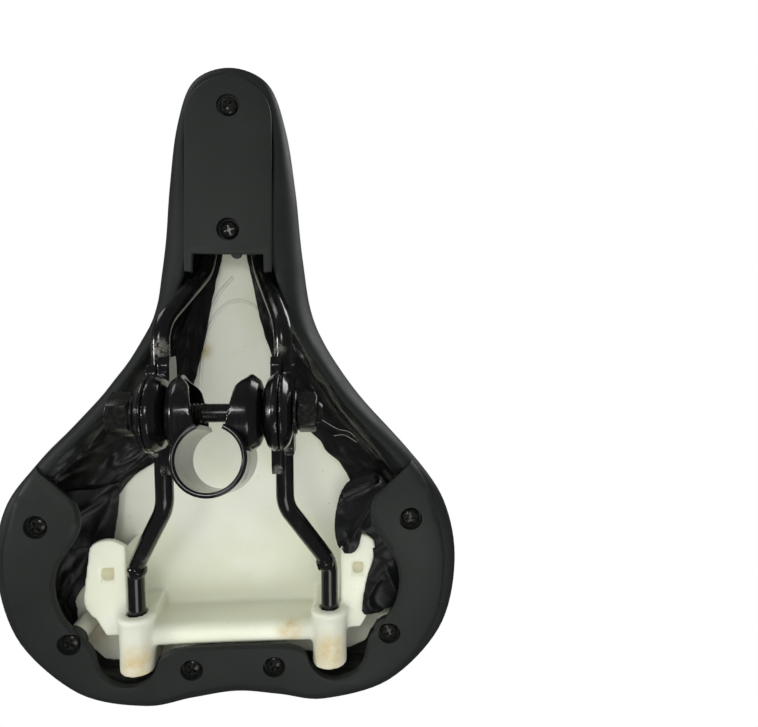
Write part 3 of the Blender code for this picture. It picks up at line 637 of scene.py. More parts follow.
def ivory_plastic():
    """Translucent ivory polypropylene, yellowed in places and stained brown at the sockets, with painted shade on
    the floors of the ear windows.
    """
    made = Finish("ivory_plastic", (0.72, 0.74, 0.58), 0.38, Subsurface_Weight=0.2, Subsurface_Scale=0.003)
    made.shader.inputs["Subsurface Radius"].default_value = (1.0, 0.9, 0.6)
    large = made.noise(22.0, 2.0, 0.5)
    fine = made.noise(160.0, 5.0, 0.65)
    broad = made.math("ADD", large, made.math("MULTIPLY", made.noise(60.0, 3.0, 0.6), 0.5))
    colour = made.blend(made.ramp(broad, 0.60, 0.88), (0.80, 0.81, 0.70), (0.75, 0.76, 0.61))
    stains = None
    for point, inner, outer in (
        ((-0.0385, 0.0900, 0.0235), 0.002, 0.011), ((0.0400, 0.0885, 0.0235), 0.002, 0.012),
        ((0.0490, 0.0110, 0.0500), 0.001, 0.010), ((-0.0590, 0.0850, 0.0440), 0.001, 0.012),
        ((0.0230, 0.0800, 0.0290), 0.001, 0.008), ((-0.0150, -0.0360, 0.0520), 0.001, 0.006),
    ):
        spot = made.near(point, inner, outer)
        stains = spot if stains is None else made.math("MAXIMUM", stains, spot)
    # Painted shade: the thin floor of each ear window is coloured darker and yellower, like the shadowed shell seen
    # through an open window.
    window_shade = made.math(
        "MAXIMUM", *[made.near((side * EAR_WINDOW_X, 0.0558, 0.0363), 0.0038, 0.0042) for side in (-1.0, 1.0)]
    )
    colour = made.blend(made.math("MULTIPLY", window_shade, 0.8), colour, (0.50, 0.47, 0.28))
    sockets = made.math(
        "MAXIMUM", *[made.near((side * 0.0390, 0.0860, 0.0235), 0.010, 0.022) for side in (-1.0, 1.0)]
    )
    colour = made.blend(made.math("MULTIPLY", sockets, 0.6), colour, (0.48, 0.48, 0.42))
    stains = made.math("MULTIPLY", stains, made.ramp(fine, 0.30, 0.66, 0.25, 1.0))
    colour = made.blend(made.math("MULTIPLY", stains, 0.75), colour, (0.50, 0.36, 0.12))
    specks = made.ramp(made.noise(520.0, 3.0), 0.735, 0.77)
    colour = made.blend(made.math("MULTIPLY", specks, 0.5), colour, (0.25, 0.22, 0.14))
    made.link(colour, "Base Color")
    made.link(made.ramp(fine, 0.3, 0.7, 0.30, 0.46), "Roughness")
    made.bump(made.math("ADD", made.math("MULTIPLY", large, 3.0), fine), 0.0004, 0.25)
    return made.made


def gloss_paint(name, scuffs):
    """Gloss black paint on steel, worn to grey metal at the given places."""
    made = Finish(name, (0.004, 0.004, 0.0042), 0.16, Coat_Weight=0.3, Coat_Roughness=0.05)
    fine = made.noise(420.0, 5.0, 0.7)
    streaks = made.noise(300.0, 4.0, 0.7, made.stretched(1.0, 0.2, 1.0))
    wear = None
    for point, inner, outer in scuffs:
        spot = made.near(point, inner, outer)
        wear = spot if wear is None else made.math("MAXIMUM", wear, spot)
    broken = made.math("MULTIPLY", wear, made.ramp(fine, 0.42, 0.58)) if wear else made.ramp(fine, 0.74, 0.8)
    colour = made.blend(made.ramp(streaks, 0.5, 0.75), (0.0035, 0.0035, 0.0038), (0.008, 0.0078, 0.0075))
    colour = made.blend(made.math("MULTIPLY", broken, 0.8), colour, (0.26, 0.25, 0.22))
    made.link(colour, "Base Color")
    made.link(made.math("MULTIPLY", broken, 0.5), "Metallic")
    rough = made.ramp(streaks, 0.35, 0.75, 0.12, 0.26)
    made.link(made.math("ADD", rough, made.math("MULTIPLY", broken, 0.28)), "Roughness")
    lumps = made.math("ADD", made.noise(260.0, 2.0), made.math("MULTIPLY", broken, -0.6))
    made.bump(lumps, 0.00012, 0.4)
    return made.made


def blackened_steel():
    """Black zinc on the bolt, nut, washers and screws, rubbed on its high spots."""
    made = Finish("blackened_steel", (0.010, 0.010, 0.0105), 0.3, Metallic=0.25)
    fine = made.noise(700.0, 5.0, 0.7)
    colour = made.blend(made.ramp(fine, 0.3, 0.7), (0.007, 0.007, 0.0072), (0.016, 0.0150, 0.0135))
    rubbed = made.ramp(made.noise(380.0, 4.0, 0.7), 0.66, 0.74)
    colour = made.blend(made.math("MULTIPLY", rubbed, 0.3), colour, (0.12, 0.11, 0.10))
    made.link(colour, "Base Color")
    made.link(made.ramp(fine, 0.3, 0.7, 0.14, 0.32), "Roughness")
    made.bump(fine, 0.00005, 0.4)
    return made.made


def foam_finish():
    made = Finish("foam", (0.62, 0.56, 0.40), 0.95)
    pores = made.cells(1400.0)
    colour = made.blend(made.noise(120.0, 4.0), (0.66, 0.60, 0.44), (0.52, 0.46, 0.32))
    made.link(colour, "Base Color")
    made.bump(pores, 0.0003, 0.7)
    return made.made


def thread_finish():
    made = Finish("pale_thread", (0.45, 0.45, 0.42), 0.8)
    colour = made.blend(made.noise(800.0, 2.0), (0.30, 0.30, 0.28), (0.55, 0.55, 0.52))
    made.link(colour, "Base Color")
    return made.made


PLATE_WEAR = []
for side in (-1.0, 1.0):
    PLATE_WEAR.append(((side * 0.0215, 0.0080, 0.0105), 0.0002, 0.0040))
    PLATE_WEAR.append(((side * 0.0250, 0.0000, 0.0105), 0.0002, 0.0030))
RAIL_WEAR = [
    ((-0.0222, -0.0390, 0.0140), 0.0015, 0.0050), ((0.0215, -0.0390, 0.0150), 0.0008, 0.0042),
    ((-0.0340, 0.0450, 0.0270), 0.0005, 0.0042), ((0.0375, 0.0470, 0.0290), 0.0003, 0.0030),
]
BAND_WEAR = [((0.0, 0.0135, -0.004), 0.0002, 0.006), ((0.0120, 0.0060, -0.006), 0.0002, 0.005)]

LEATHER = leather("striped_leather", stripes=True)
LINING = lining_leather()
RED = red_vinyl()
PLASTIC = moulded_black()
IVORY = ivory_plastic()
RAIL_PAINT = gloss_paint("rail_paint", RAIL_WEAR)
PLATE_PAINT = gloss_paint("plate_paint", PLATE_WEAR)
BAND_PAINT = gloss_paint("band_paint", BAND_WEAR)
STEEL = blackened_steel()
FOAM = foam_finish()
THREAD = thread_finish()

# ---- Cover, stripe and foam ----------------------------------------------------------------


def crease(point, ring_share):
    """How far the skin sinks or swells at a point: soft waves, and creases under the waist."""
    soft = noise.noise(point * 28.0) * 0.00035
    waist = math.exp(-(((point.y + 0.035) / 0.045) ** 2)) * ring_share
    folds = noise.noise(Vector((point.x * 40.0, point.y * 95.0, point.z * 60.0 + 7.0))) * 0.00045
    return soft + waist * folds


def surface_area(bm):
    return sum(face.calc_area() for face in bm.faces)


def make_cover():
    ribs = make_ribs(8)
    rings = dome_rings(ribs, lambda _y: 0.0, top_z, widest_z, 30)
    crown_count = len(rings)
    for step in range(1, 11):
        angle = math.radians(9.0 * step)
        ring = []
        for rib in ribs:
            y = rib.edge.y
            place = rib.point(rim_inset(y) * (1.0 - math.cos(angle)))
            ring.append(Vector((place.x, place.y, mix(widest_z(y), rim_z(y), math.sin(angle)))))
        rings.append(ring)
    for extra, rise in ((0.0007, 0.0001), (0.0013, 0.0006), (0.0016, 0.0013)):
        ring = []
        for rib in ribs:
            y = rib.edge.y
            place = rib.point(rim_inset(y) + extra)
            ring.append(Vector((place.x, place.y, rim_z(y) + rise)))
        rings.append(ring)
    bm = loft(rings, closed_ends=False)
    bm.normal_update()
    across = bm.verts.layers.float.new("stripe_across")
    fade = bm.verts.layers.float.new("stripe_fade")
    moves = []
    for vert in bm.verts:
        x, y, z = vert.co
        vert[across] = x / mix(0.78, 1.0, smooth(-0.060, 0.100, y))
        vert[fade] = smooth(-0.085, -0.050, y) * smooth(widest_z(y) - 0.004, widest_z(y) + 0.001, z)
        moves.append(vert.normal * crease(vert.co, smooth(0.060, 0.030, z)))
    for vert, move in zip(bm.verts, moves):
        vert.co += move
    area = surface_area(bm)
    cover = mesh_object("leather_cover", bm)
    surface = BVHTree.FromObject(cover, bpy.context.evaluated_depsgraph_get())
    add_modifier(cover, "SOLIDIFY", thickness=COVER_THICKNESS, offset=-1.0)
    piece(cover, LEATHER, "saddle", ["cover"], smooth_angle=0.0)
    return crown_count, surface


def make_red_stripe(surface):
    """A smooth printed stripe that runs forward from the rear edge and ends aslant."""
    rows = []
    lengthwise, across = 90, 24
    turn_y, turn_z = 0.070, 0.040
    for i in range(lengthwise + 1):
        row = []
        for j in range(across + 1):
            share = j / across
            front_y = mix(0.0352, 0.0290, share)
            travel = mix(0.0, 1.0, i / lengthwise)
            reach = travel * 1.42
            if reach < 1.0:
                y = mix(front_y, turn_y, reach)
                origin, heading = Vector((0.0, y, 0.2)), Vector((0.0, 0.0, -1.0))
            else:
                y = turn_y
                angle = (reach - 1.0) / 0.42 * math.radians(97.0)
                heading = Vector((0.0, -math.sin(angle), -math.cos(angle)))
                origin = Vector((0.0, turn_y, turn_z)) - heading * 0.2
            back = smooth(0.025, turn_y, y)
            origin.x = mix(mix(-0.0094, -0.0136, back), mix(0.0101, 0.0110, back), share)
            place, normal, _index, _gap = surface.ray_cast(origin, heading)
            if normal.dot(heading) > 0.0:
                normal = -normal
            row.append(place + normal * 0.00022)
        rows.append(row)
    bm = grid(rows)
    bmesh.ops.recalc_face_normals(bm, faces=bm.faces)
    stripe = mesh_object("red_stripe", bm)
    add_modifier(stripe, "SOLIDIFY", thickness=0.0004, offset=0.0)
    piece(stripe, RED, "saddle")


def make_foam():
    """The pad inside the cover, a crowned closed form swollen by a short pressure simulation."""
    ribs = make_ribs(4)
    under_cover = COVER_THICKNESS + 4.0 * GAP
    rings = dome_rings(
        ribs, lambda _y: under_cover + 0.0006, lambda y: top_z(y) - under_cover - 0.0006, widest_z, 14
    )
    edge = []
    for rib in ribs:
        y = rib.edge.y
        drop = FOAM_EDGE_DROP / (widest_z(y) - rim_z(y))
        place = rib.point(under_cover + rim_inset(y) * (1.0 - math.sqrt(1.0 - drop**2)) + 0.0010)
        edge.append(Vector((place.x, place.y, shell_rim_z(y))))
    rings.append(edge)
    rings += reversed(
        dome_rings(ribs, lambda y: shell_inset(y) - GAP, lambda _y: SHELL_TOP_Z + GAP, shell_rim_z, 10)
    )
    foam = mesh_object("foam_core", loft(rings))
    swell(foam)
    piece(foam, FOAM, "saddle", ["foam_pad"], smooth_angle=0.0)


def swell(obj, voxel=0.005, pressure=4.0, frames=12, cap=0.0006):
    """Inflates a closed mesh with Cloth, and lets no point move further than cap."""
    add_modifier(obj, "REMESH", mode="VOXEL", voxel_size=voxel)
    start = [vert.co.copy() for vert in obj.data.vertices]
    cloth = obj.modifiers.new("cloth", "CLOTH")
    cloth.settings.use_pressure = True
    cloth.settings.uniform_pressure_force = pressure
    cloth.settings.effector_weights.gravity = 0.0
    cloth.settings.quality = 3
    scene = bpy.context.scene
    for step in range(1, frames + 1):
        scene.frame_set(step)
    apply_modifiers(obj)
    scene.frame_set(1)
    for vert, place in zip(obj.data.vertices, start):
        move = vert.co - place
        if move.length > cap:
            vert.co = place + move * (cap / move.length)


# ---- Shell ---------------------------------------------------------------------------------


def socket_outline(x):
    under = arc((x, SOCKET_Z), SOCKET_RADIUS, 180.0, 360.0, 28)
    return [*under, (x + 0.0055, CEILING_Z), (x - 0.0055, CEILING_Z)]


def ear_outline(side):
    points = [(0.0444, 0.082), (0.0444, 0.044), *arc((0.052, 0.050), 0.009, 235.0, 320.0, 10)]
    points += [*arc((0.052, 0.066), 0.010, -10.0, 60.0, 10), (0.053, 0.082)]
    return [(side * x, y) for x, y in points]


def make_shell():
    ribs = make_ribs(4)
    rings = [*shell_wall(ribs, 0.0, 14), *reversed(shell_wall(ribs, SHELL_THICKNESS, 14))]
    middle = shell_wall(ribs, SHELL_THICKNESS / 2.0, 14)
    foot = [Vector((point.x, point.y, 0.005)) for point in middle[-1]]
    centre = [Vector((0.0, rib.root.y, 0.005)) for rib in ribs]
    envelope_rings = [*middle, foot, centre]

    features = []
    rib_foot = arc((CROSS_RIB_Y, CROSS_RIB_Z), 0.0045, 180.0, 360.0, 16)
    rib_top = [(CROSS_RIB_Y + 0.003, CEILING_Z), (CROSS_RIB_Y - 0.003, CEILING_Z)]
    features.append(prism([*rib_foot, *rib_top], -0.038, 0.038, "X"))
    for side in (1.0, -1.0):
        features.append(prism(socket_outline(side * SOCKET_X), SOCKET_MOUTH_Y, SOCKET_END_Y, "Y"))
        collar = circle((side * SOCKET_X, SOCKET_Z), SOCKET_RADIUS + 0.0007, 40)
        features.append(prism(collar, SOCKET_MOUTH_Y - 0.0002, SOCKET_MOUTH_Y + 0.0024, "Y"))
        features.append(prism(ear_outline(side), *EAR_Z))
        wall = sorted((side * 0.0442, side * 0.0458))
        features.append(prism(box_outline(*wall, 0.0455, 0.0800), EAR_Z[0] + 0.0004, CEILING_Z))
    nose_seat = box_outline(-0.0125, 0.0125, -0.121, -0.099)
    features.append(prism(nose_seat, NOSE_RAIL_Z + RAIL_RADIUS + GAP, CEILING_Z))
    for name, (x, y) in ALL_SCREWS.items():
        foot_z = screw_seat_z(name, y) + REAR_COVER_THICKNESS
        features.append(prism(circle((x, y), SHELL_BOSS_RADIUS, 28), foot_z, CEILING_Z))
    solids = [loft(rings)]
    for feature in features:
        trimmed = mesh_object("feature", feature)
        boolean(trimmed, "INTERSECT", loft(envelope_rings))
        bm = bmesh.new()
        bm.from_mesh(trimmed.data)
        bpy.data.objects.remove(trimmed)
        solids.append(bm)
    shell = mesh_object("ivory_shell", merged(solids))
    add_modifier(shell, "REMESH", mode="VOXEL", voxel_size=0.0008)
    for side in (1.0, -1.0):
        wire = circle((side * SOCKET_X, SOCKET_Z), RAIL_RADIUS + GAP, 32)
        middle_x = side * EAR_WINDOW_X
        window = box_outline(middle_x - EAR_WINDOW_HALF, middle_x + EAR_WINDOW_HALF, *EAR_WINDOW_Y)
        boolean(shell, "DIFFERENCE", prism(window, 0.030, 0.0350))
        boolean(shell, "DIFFERENCE", prism(wire, 0.060, RAIL_END_Y + GAP, "Y"))
    add_modifier(shell, "SMOOTH", factor=0.5, iterations=4)
    for vert in shell.data.vertices:
        dip = noise.noise(vert.co * 38.0) * 0.0008 + noise.noise(vert.co * 105.0) * 0.0002
        vert.co.z += dip * smooth(0.0, 0.004, vert.co.z - shell_rim_z(vert.co.y))
    surface = BVHTree.FromObject(shell, bpy.context.evaluated_depsgraph_get())
    piece(shell, IVORY, "saddle", ["shell"], smooth_angle=60.0)
    return surface


def make_mould_lines(surface):
    """The raised lines that the mould left inside the nose."""
    lines = {
        "mould_line_inner": [
            (-0.0172, -0.0200), (-0.0160, -0.0300), (-0.0148, -0.0385), (-0.0128, -0.0451),
            (-0.0098, -0.0510), (-0.0050, -0.0560), (0.0010, -0.0580), (0.0065, -0.0560),
            (0.0100, -0.0525), (0.0125, -0.0460),
        ],
        "mould_line_outer": [
            (-0.0190, -0.0290), (-0.0172, -0.0385), (-0.0140, -0.0480), (-0.0105, -0.0560),
            (-0.0066, -0.0626), (-0.0017, -0.0680),
        ],
    }
    for name, corners in lines.items():
        path = []
        for point in spline(corners, 8):
            origin = Vector((point.x, point.y, 0.0))
            place, _normal, _index, _gap = surface.ray_cast(origin, Vector((0.0, 0.0, 1.0)))
            path.append(place + Vector((0.0, 0.0, 0.00020)))
        tube(name, path, 0.00075, IVORY)


def tube(name, path, radius, finish, body="saddle", nodes=(), resolution=5):
    curve = bpy.data.curves.new(name, "CURVE")
    curve.dimensions = "3D"
    curve.bevel_depth = radius
    curve.bevel_resolution = resolution
    curve.use_fill_caps = True
    line = curve.splines.new("POLY")
    line.points.add(len(path) - 1)
    for point, place in zip(line.points, path):
        point.co = (*place, 1.0)
    holder = bpy.data.objects.new(name, curve)
    bpy.context.scene.collection.objects.link(holder)
    bpy.context.view_layer.update()
    mesh = bpy.data.meshes.new_from_object(holder)
    bpy.data.objects.remove(holder)
    made = bpy.data.objects.new(name, mesh)
    bpy.context.scene.collection.objects.link(made)
    return piece(made, finish, body, nodes)


# ---- The cover's turned-in edge ------------------------------------------------------------


def crossing(rib, edge_line):
    """The share of the way out along a rib at which it meets a line drawn in plan."""
    outer = rib.edge
    for first, second in zip(edge_line, edge_line[1:]):
        run = second - first
        reach = outer - rib.root
        cross = reach.x * run.y - reach.y * run.x
        if abs(cross) < 1e-12:
            continue
        gap = first - rib.root
        share = (gap.x * run.y - gap.y * run.x) / cross
        along = (gap.x * reach.y - gap.y * reach.x) / cross
        if -0.001 <= along <= 1.001 and 0.0 < share < 1.0:
            return share
    return None


def wrinkle(length, across, seed):
    """Height of the folds at a place along the rim and across the turned-in strip."""
    warp = noise.noise(Vector((length * 22.0, across * 1.3, seed))) * 0.030
    warp += noise.noise(Vector((length * 70.0, across * 3.0, seed + 5.0))) * 0.006
    first = noise.noise(Vector(((length + warp) * 75.0, across * 0.9, seed + 3.0)))
    second = noise.noise(Vector(((length - warp * 1.4) * 190.0, across * 2.4, seed + 9.0)))
    third = noise.noise(Vector((length * 90.0, (across + warp * 9.0) * 5.0, seed + 14.0)))
    return 0.0021 * (1.0 - abs(first)) ** 7 + 0.0008 * (1.0 - abs(second)) ** 6 + 0.0005 * (1.0 - abs(third)) ** 6


def make_lining(surface, side, edge_points, seed):
    """One side of the skin's turned-in edge, glued to the shell's inner face in folds."""
    edge_line = spline(edge_points, 6)
    ribs = make_ribs(16)
    half = len(ribs) // 2
    chosen = ribs[: half + 1] if side > 0 else [ribs[0], *reversed(ribs[half:])]
    steps_up, steps_in = 10, 26
    rows = []
    length = 0.0
    last = None
    for rib in chosen:
        share = crossing(rib, edge_line)
        if share is None:
            continue
        y = rib.edge.y
        if last is not None:
            length += (rib.edge - last).length
        last = rib.edge
        calm = smooth(-0.085, -0.040, y)
        hem = rib.point(rim_inset(y) + 0.0005)
        lip = rib.point(shell_inset(y) + SHELL_THICKNESS + 0.0010)
        row = []
        for step in range(steps_up):
            t = step / steps_up
            place = hem.lerp(lip, t)
            z = mix(rim_z(y) + 0.0006, shell_rim_z(y) - 0.0004, t)
            fold = wrinkle(length, t * 0.4, seed) * smooth(0.0, 0.4, t) * mix(0.35, 1.0, calm)
            toward = rib.inward * (fold * 0.9 + 0.0012 * math.sin(math.pi * t))
            row.append(Vector((place.x + toward.x, place.y + toward.y, z)))
        inner_inset = shell_inset(y) + SHELL_THICKNESS
        start_share = 1.0
        end_share = min(share + noise.noise(Vector((length * 190.0, seed, 1.0))) * 0.014, 0.99)
        for step in range(steps_in + 1):
            t = step / steps_in
            place = rib.point(inner_inset + 0.0008 * (1.0 - t), mix(start_share, end_share, t))
            low = shell_rim_z(y)
            radial = mix(start_share, end_share, t)
            z = low + (SHELL_TOP_Z - SHELL_THICKNESS - low) * dome_height(radial)
            fold = wrinkle(length, 0.4 + t, seed) * mix(0.35, 1.0, calm) * mix(1.0, 0.45, t**3)
            out = 1.0 - smooth(0.0, 0.35, t)
            down = 0.0009 + fold * (1.0 - 0.5 * out)
            place = place + rib.inward * (fold * out * 0.9)
            row.append(Vector((place.x, place.y, z - down)))
        rows.append(row)
    for row in rows:
        for i, point in enumerate(row):
            if i < steps_up:
                continue
            hit = surface.ray_cast(Vector((point.x, point.y, point.z - 0.004)), Vector((0.0, 0.0, 1.0)))
            if hit[0] is not None and point.z > hit[0].z - 0.0007:
                point.z = hit[0].z - 0.0007
    bm = grid(rows)
    bmesh.ops.recalc_face_normals(bm, faces=bm.faces)
    name = "lining_right" if side > 0 else "lining_left"
    width = surface_area(bm) / length
    lining = mesh_object(name, bm)
    add_modifier(lining, "SMOOTH", factor=0.5, iterations=2)
    add_modifier(lining, "SOLIDIFY", thickness=0.0008, offset=0.0)
    piece(lining, LINING, "saddle", smooth_angle=0.0)


def make_scrap(name, outline, heights, creases, seed, surface):
    """A loose scrap of the skin that lies over the turned-in edge.

    outline is its cut shape in plan, heights how far it lies below the shell at its root and at
    its free end, and creases are lines in plan along which it is folded.
    """
    sheet, bm, low, high = flat_sheet(name, outline, 0.0007)
    for vert in bm.verts:
        x, y, _z = vert.co
        share = (y - low.y) / (high.y - low.y)
        hit = surface.ray_cast(Vector((x, y, 0.038)), Vector((0.0, 0.0, 1.0)))[0]
        roof = hit.z if hit is not None else 0.0495
        fold = 0.0
        for start, end, height, width in creases:
            start, end = Vector(start), Vector(end)
            run = end - start
            t = min(max((Vector((x, y)) - start).dot(run) / run.length_squared, 0.0), 1.0)
            gap = (Vector((x, y)) - start - run * t).length
            fold += height * math.exp(-gap / width)
        ripple = 0.0004 * noise.noise(Vector((x * 170.0, y * 170.0, seed)))
        vert.co.z = roof - mix(heights[0], heights[1], share) - fold - ripple
    bm.to_mesh(sheet.data)
    bm.free()
    add_modifier(sheet, "SMOOTH", factor=0.5, iterations=2)
    add_modifier(sheet, "SOLIDIFY", thickness=0.0009, offset=0.0)
    piece(sheet, LINING, "saddle", smooth_angle=50.0)
    declare_cut(outline)


def declare_cut(outline):
    """Works out the area inside a sheet's cut outline, and does nothing with it."""
    corners = zip(outline, [*outline[1:], outline[0]])
    area = abs(sum(start[0] * end[1] - end[0] * start[1] for start, end in corners)) / 2.0


def flat_sheet(name, outline, cell):
    """A sheet of this outline in plan, cut into cells of this size, lying at height 0."""
    low = Vector((min(p[0] for p in outline), min(p[1] for p in outline)))
    high = Vector((max(p[0] for p in outline), max(p[1] for p in outline)))
    columns = int((high.x - low.x) / cell) + 1
    lines = int((high.y - low.y) / cell) + 1
    rows = [
        [Vector((low.x + i * cell, low.y + j * cell, 0.0)) for j in range(lines + 1)]
        for i in range(columns + 1)
    ]
    sheet = mesh_object(name, grid(rows))
    add_modifier(sheet, "SOLIDIFY", thickness=0.02, offset=0.0)
    boolean(sheet, "INTERSECT", prism(outline, -0.05, 0.05))
    bm = bmesh.new()
    bm.from_mesh(sheet.data)
    drop = [face for face in bm.faces if face.normal.z < 0.9]
    bmesh.ops.delete(bm, geom=drop, context="FACES")
    bmesh.ops.triangulate(bm, faces=[face for face in bm.faces if len(face.verts) > 4])
    return sheet, bm, low, high


def make_fold(name, outline):
    """The skin's turned-in edge where it is pulled over the right ear in loose folds."""
    sheet, bm, low, high = flat_sheet(name, outline, 0.0006)
    for vert in bm.verts:
        x, y, _z = vert.co
        base = mix(0.0313, 0.0300, smooth(0.058, 0.070, x)) + 0.0020 * smooth(0.066, 0.074, x)
        warp = noise.noise(Vector((x * 30.0, y * 30.0, 2.0)))
        ridge = (1.0 - abs(noise.noise(Vector((x * 95.0 + warp * 1.6, y * 34.0 - warp, 4.0))))) ** 8
        small = (1.0 - abs(noise.noise(Vector((x * 60.0, y * 120.0 + warp * 3.0, 8.0))))) ** 8
        rise = 0.0032 * smooth(0.052, 0.041, y)
        vert.co.z = base + rise - 0.0020 * ridge - 0.0006 * small + 0.0008
    bm.to_mesh(sheet.data)
    bm.free()
    add_modifier(sheet, "SMOOTH", factor=0.5, iterations=2)
    add_modifier(sheet, "SOLIDIFY", thickness=0.0008, offset=0.0)
    piece(sheet, LINING, "saddle", smooth_angle=50.0)
    declare_cut(outline)


def make_threads():
    """A few pale threads pulled out of the skin's cut edge."""
    lines = [
        [(0.0360, -0.0067, 0.0440), (0.0436, -0.0022, 0.0435), (0.0490, -0.0005, 0.0440), (0.0550, 0.0056, 0.0430)],
        [(0.0420, 0.0010, 0.0445), (0.0465, 0.0005, 0.0432), (0.0520, 0.0040, 0.0445)],
        [(0.0467, 0.0238, 0.0440), (0.0482, 0.0270, 0.0425), (0.0498, 0.0297, 0.0430), (0.0484, 0.0351, 0.0440)],
    ]
    for i, line in enumerate(lines):
        tube(f"thread_{i + 1}", spline(line, 10), 0.00013, THREAD, resolution=2)


# ---- Screws and plastic covers -------------------------------------------------------------


def make_screw(name, spot):
    head, height = SCREW_HEAD_RADIUS, SCREW_HEAD_HEIGHT
    dome = [(-height * math.cos(a), head * math.sin(a)) for a in [math.radians(9.0 * i) for i in range(10)]]
    threads = []
    pitch = 0.0014
    for i in range(5):
        start = 0.0026 + i * pitch
        threads += [(start, SCREW_SHANK_RADIUS * 0.8), (start + pitch / 2, SCREW_SHANK_RADIUS)]
    profile = [*dome, (-0.0002, head), (0.0, head * 0.97), (0.0, SCREW_SHANK_RADIUS * 0.8), *threads,
               (SCREW_LENGTH - 0.001, SCREW_SHANK_RADIUS * 0.7), (SCREW_LENGTH, 0.0)]
    bm = turned(profile, 32)
    bmesh.ops.rotate(bm, verts=bm.verts, cent=(0, 0, 0), matrix=Matrix.Rotation(-math.pi / 2, 3, "Y"))
    screw = mesh_object(f"screw_{name}", bm)
    long, thin, root = 0.00215, 0.00042, 0.0008
    cross = [
        (-long, -thin), (-root, -thin), (-thin, -root), (-thin, -long), (thin, -long), (thin, -root),
        (root, -thin), (long, -thin), (long, thin), (root, thin), (thin, root), (thin, long),
        (-thin, long), (-thin, root), (-root, thin), (-long, thin),
    ]
    turn = Matrix.Rotation(spot[0] * 90.0 + spot[1] * 40.0, 2)
    cross = [tuple(turn @ Vector(point)) for point in cross]
    boolean(screw, "DIFFERENCE", prism(cross, -0.004, -0.0006))
    seat = screw_seat_z(name, spot[1]) - GAP
    screw.data.transform(Matrix.Translation((spot[0], spot[1], seat)))
    piece(screw, STEEL, "saddle", [name], smooth_angle=30.0)


def seat_screw(cover, name, spot, low, boss_radius, floor):
    seat = screw_seat_z(name, spot[1])
    below = low - 0.01
    boolean(cover, "UNION", prism(circle(spot, boss_radius, 40), low + 0.001, seat + floor))
    boolean(cover, "DIFFERENCE", prism(circle(spot, RECESS_RADIUS, 40), below, seat))
    boolean(cover, "DIFFERENCE", prism(circle(spot, SCREW_HOLE_RADIUS, 24), below, 0.055))


def make_nose_cover():
    half = PANEL_HALF_WIDTH
    front = arc((0.0, -0.131), half, 180.0, 360.0, 60)
    right = [(half, y) for y in (-0.12, -0.11, -0.10, -0.09, -0.08)]
    legs = [(half, -0.0690), (half - 0.0032, -0.0686), (half - 0.0034, PANEL_REAR_Y)]
    edge = [*front, *right, *legs]
    edge += [(-x, y) for x, y in reversed(legs)] + [(-x, y) for x, y in reversed(right)]
    bm = prism(edge, 0.0, PANEL_THICKNESS)
    rim = [e for e in bm.edges if e.is_boundary or abs((e.verts[0].co - e.verts[1].co).z) < 1e-6]
    bmesh.ops.bevel(bm, geom=rim, offset=0.0006, segments=3, profile=0.5, affect="EDGES")
    for vert in bm.verts:
        vert.co.z += panel_z(vert.co.y)
    cover = mesh_object("nose_panel", bm)
    foot = panel_z(-0.106) + 0.001
    for side in (1.0, -1.0):
        post = box_outline(side * 0.009 - 0.003, side * 0.009 + 0.003, -0.112, -0.100)
        boolean(cover, "UNION", prism(post, foot, NOSE_RAIL_Z - RAIL_RADIUS - GAP))
    boolean(cover, "UNION", prism(circle((0.0032, -0.0764), 0.0021, 32), 0.0322, 0.0345))
    for name, spot in NOSE_SCREWS.items():
        seat_screw(cover, name, spot, panel_z(spot[1]), 0.0064, REAR_COVER_THICKNESS - GAP)
    piece(cover, PLASTIC, "saddle", ["nose_cover"], smooth_angle=35.0)


def rear_cover_inner_edge():
    front = [(0.0585, 0.0210), (0.0565, 0.0265), (0.0570, 0.0330), (0.0620, 0.0405)]
    side = [(0.0672, 0.0480), (0.0690, 0.0570), (0.0675, 0.0680), (0.0620, 0.0765), (0.0566, 0.0825)]
    notch = arc((0.0425, 0.0885), 0.0126, 0.0, 180.0, 12)
    return rounded([*front, *side, *notch, (0.0235, 0.0848), (0.0, 0.0845)], 2, closed=False)


def side_height(y, inset):
    """Height of the skin's side at this inset from the plan outline."""
    reach = rim_inset(y)
    turn = math.sqrt(max(1.0 - (1.0 - min(inset, reach) / reach) ** 2, 0.0))
    return mix(widest_z(y), rim_z(y), turn)


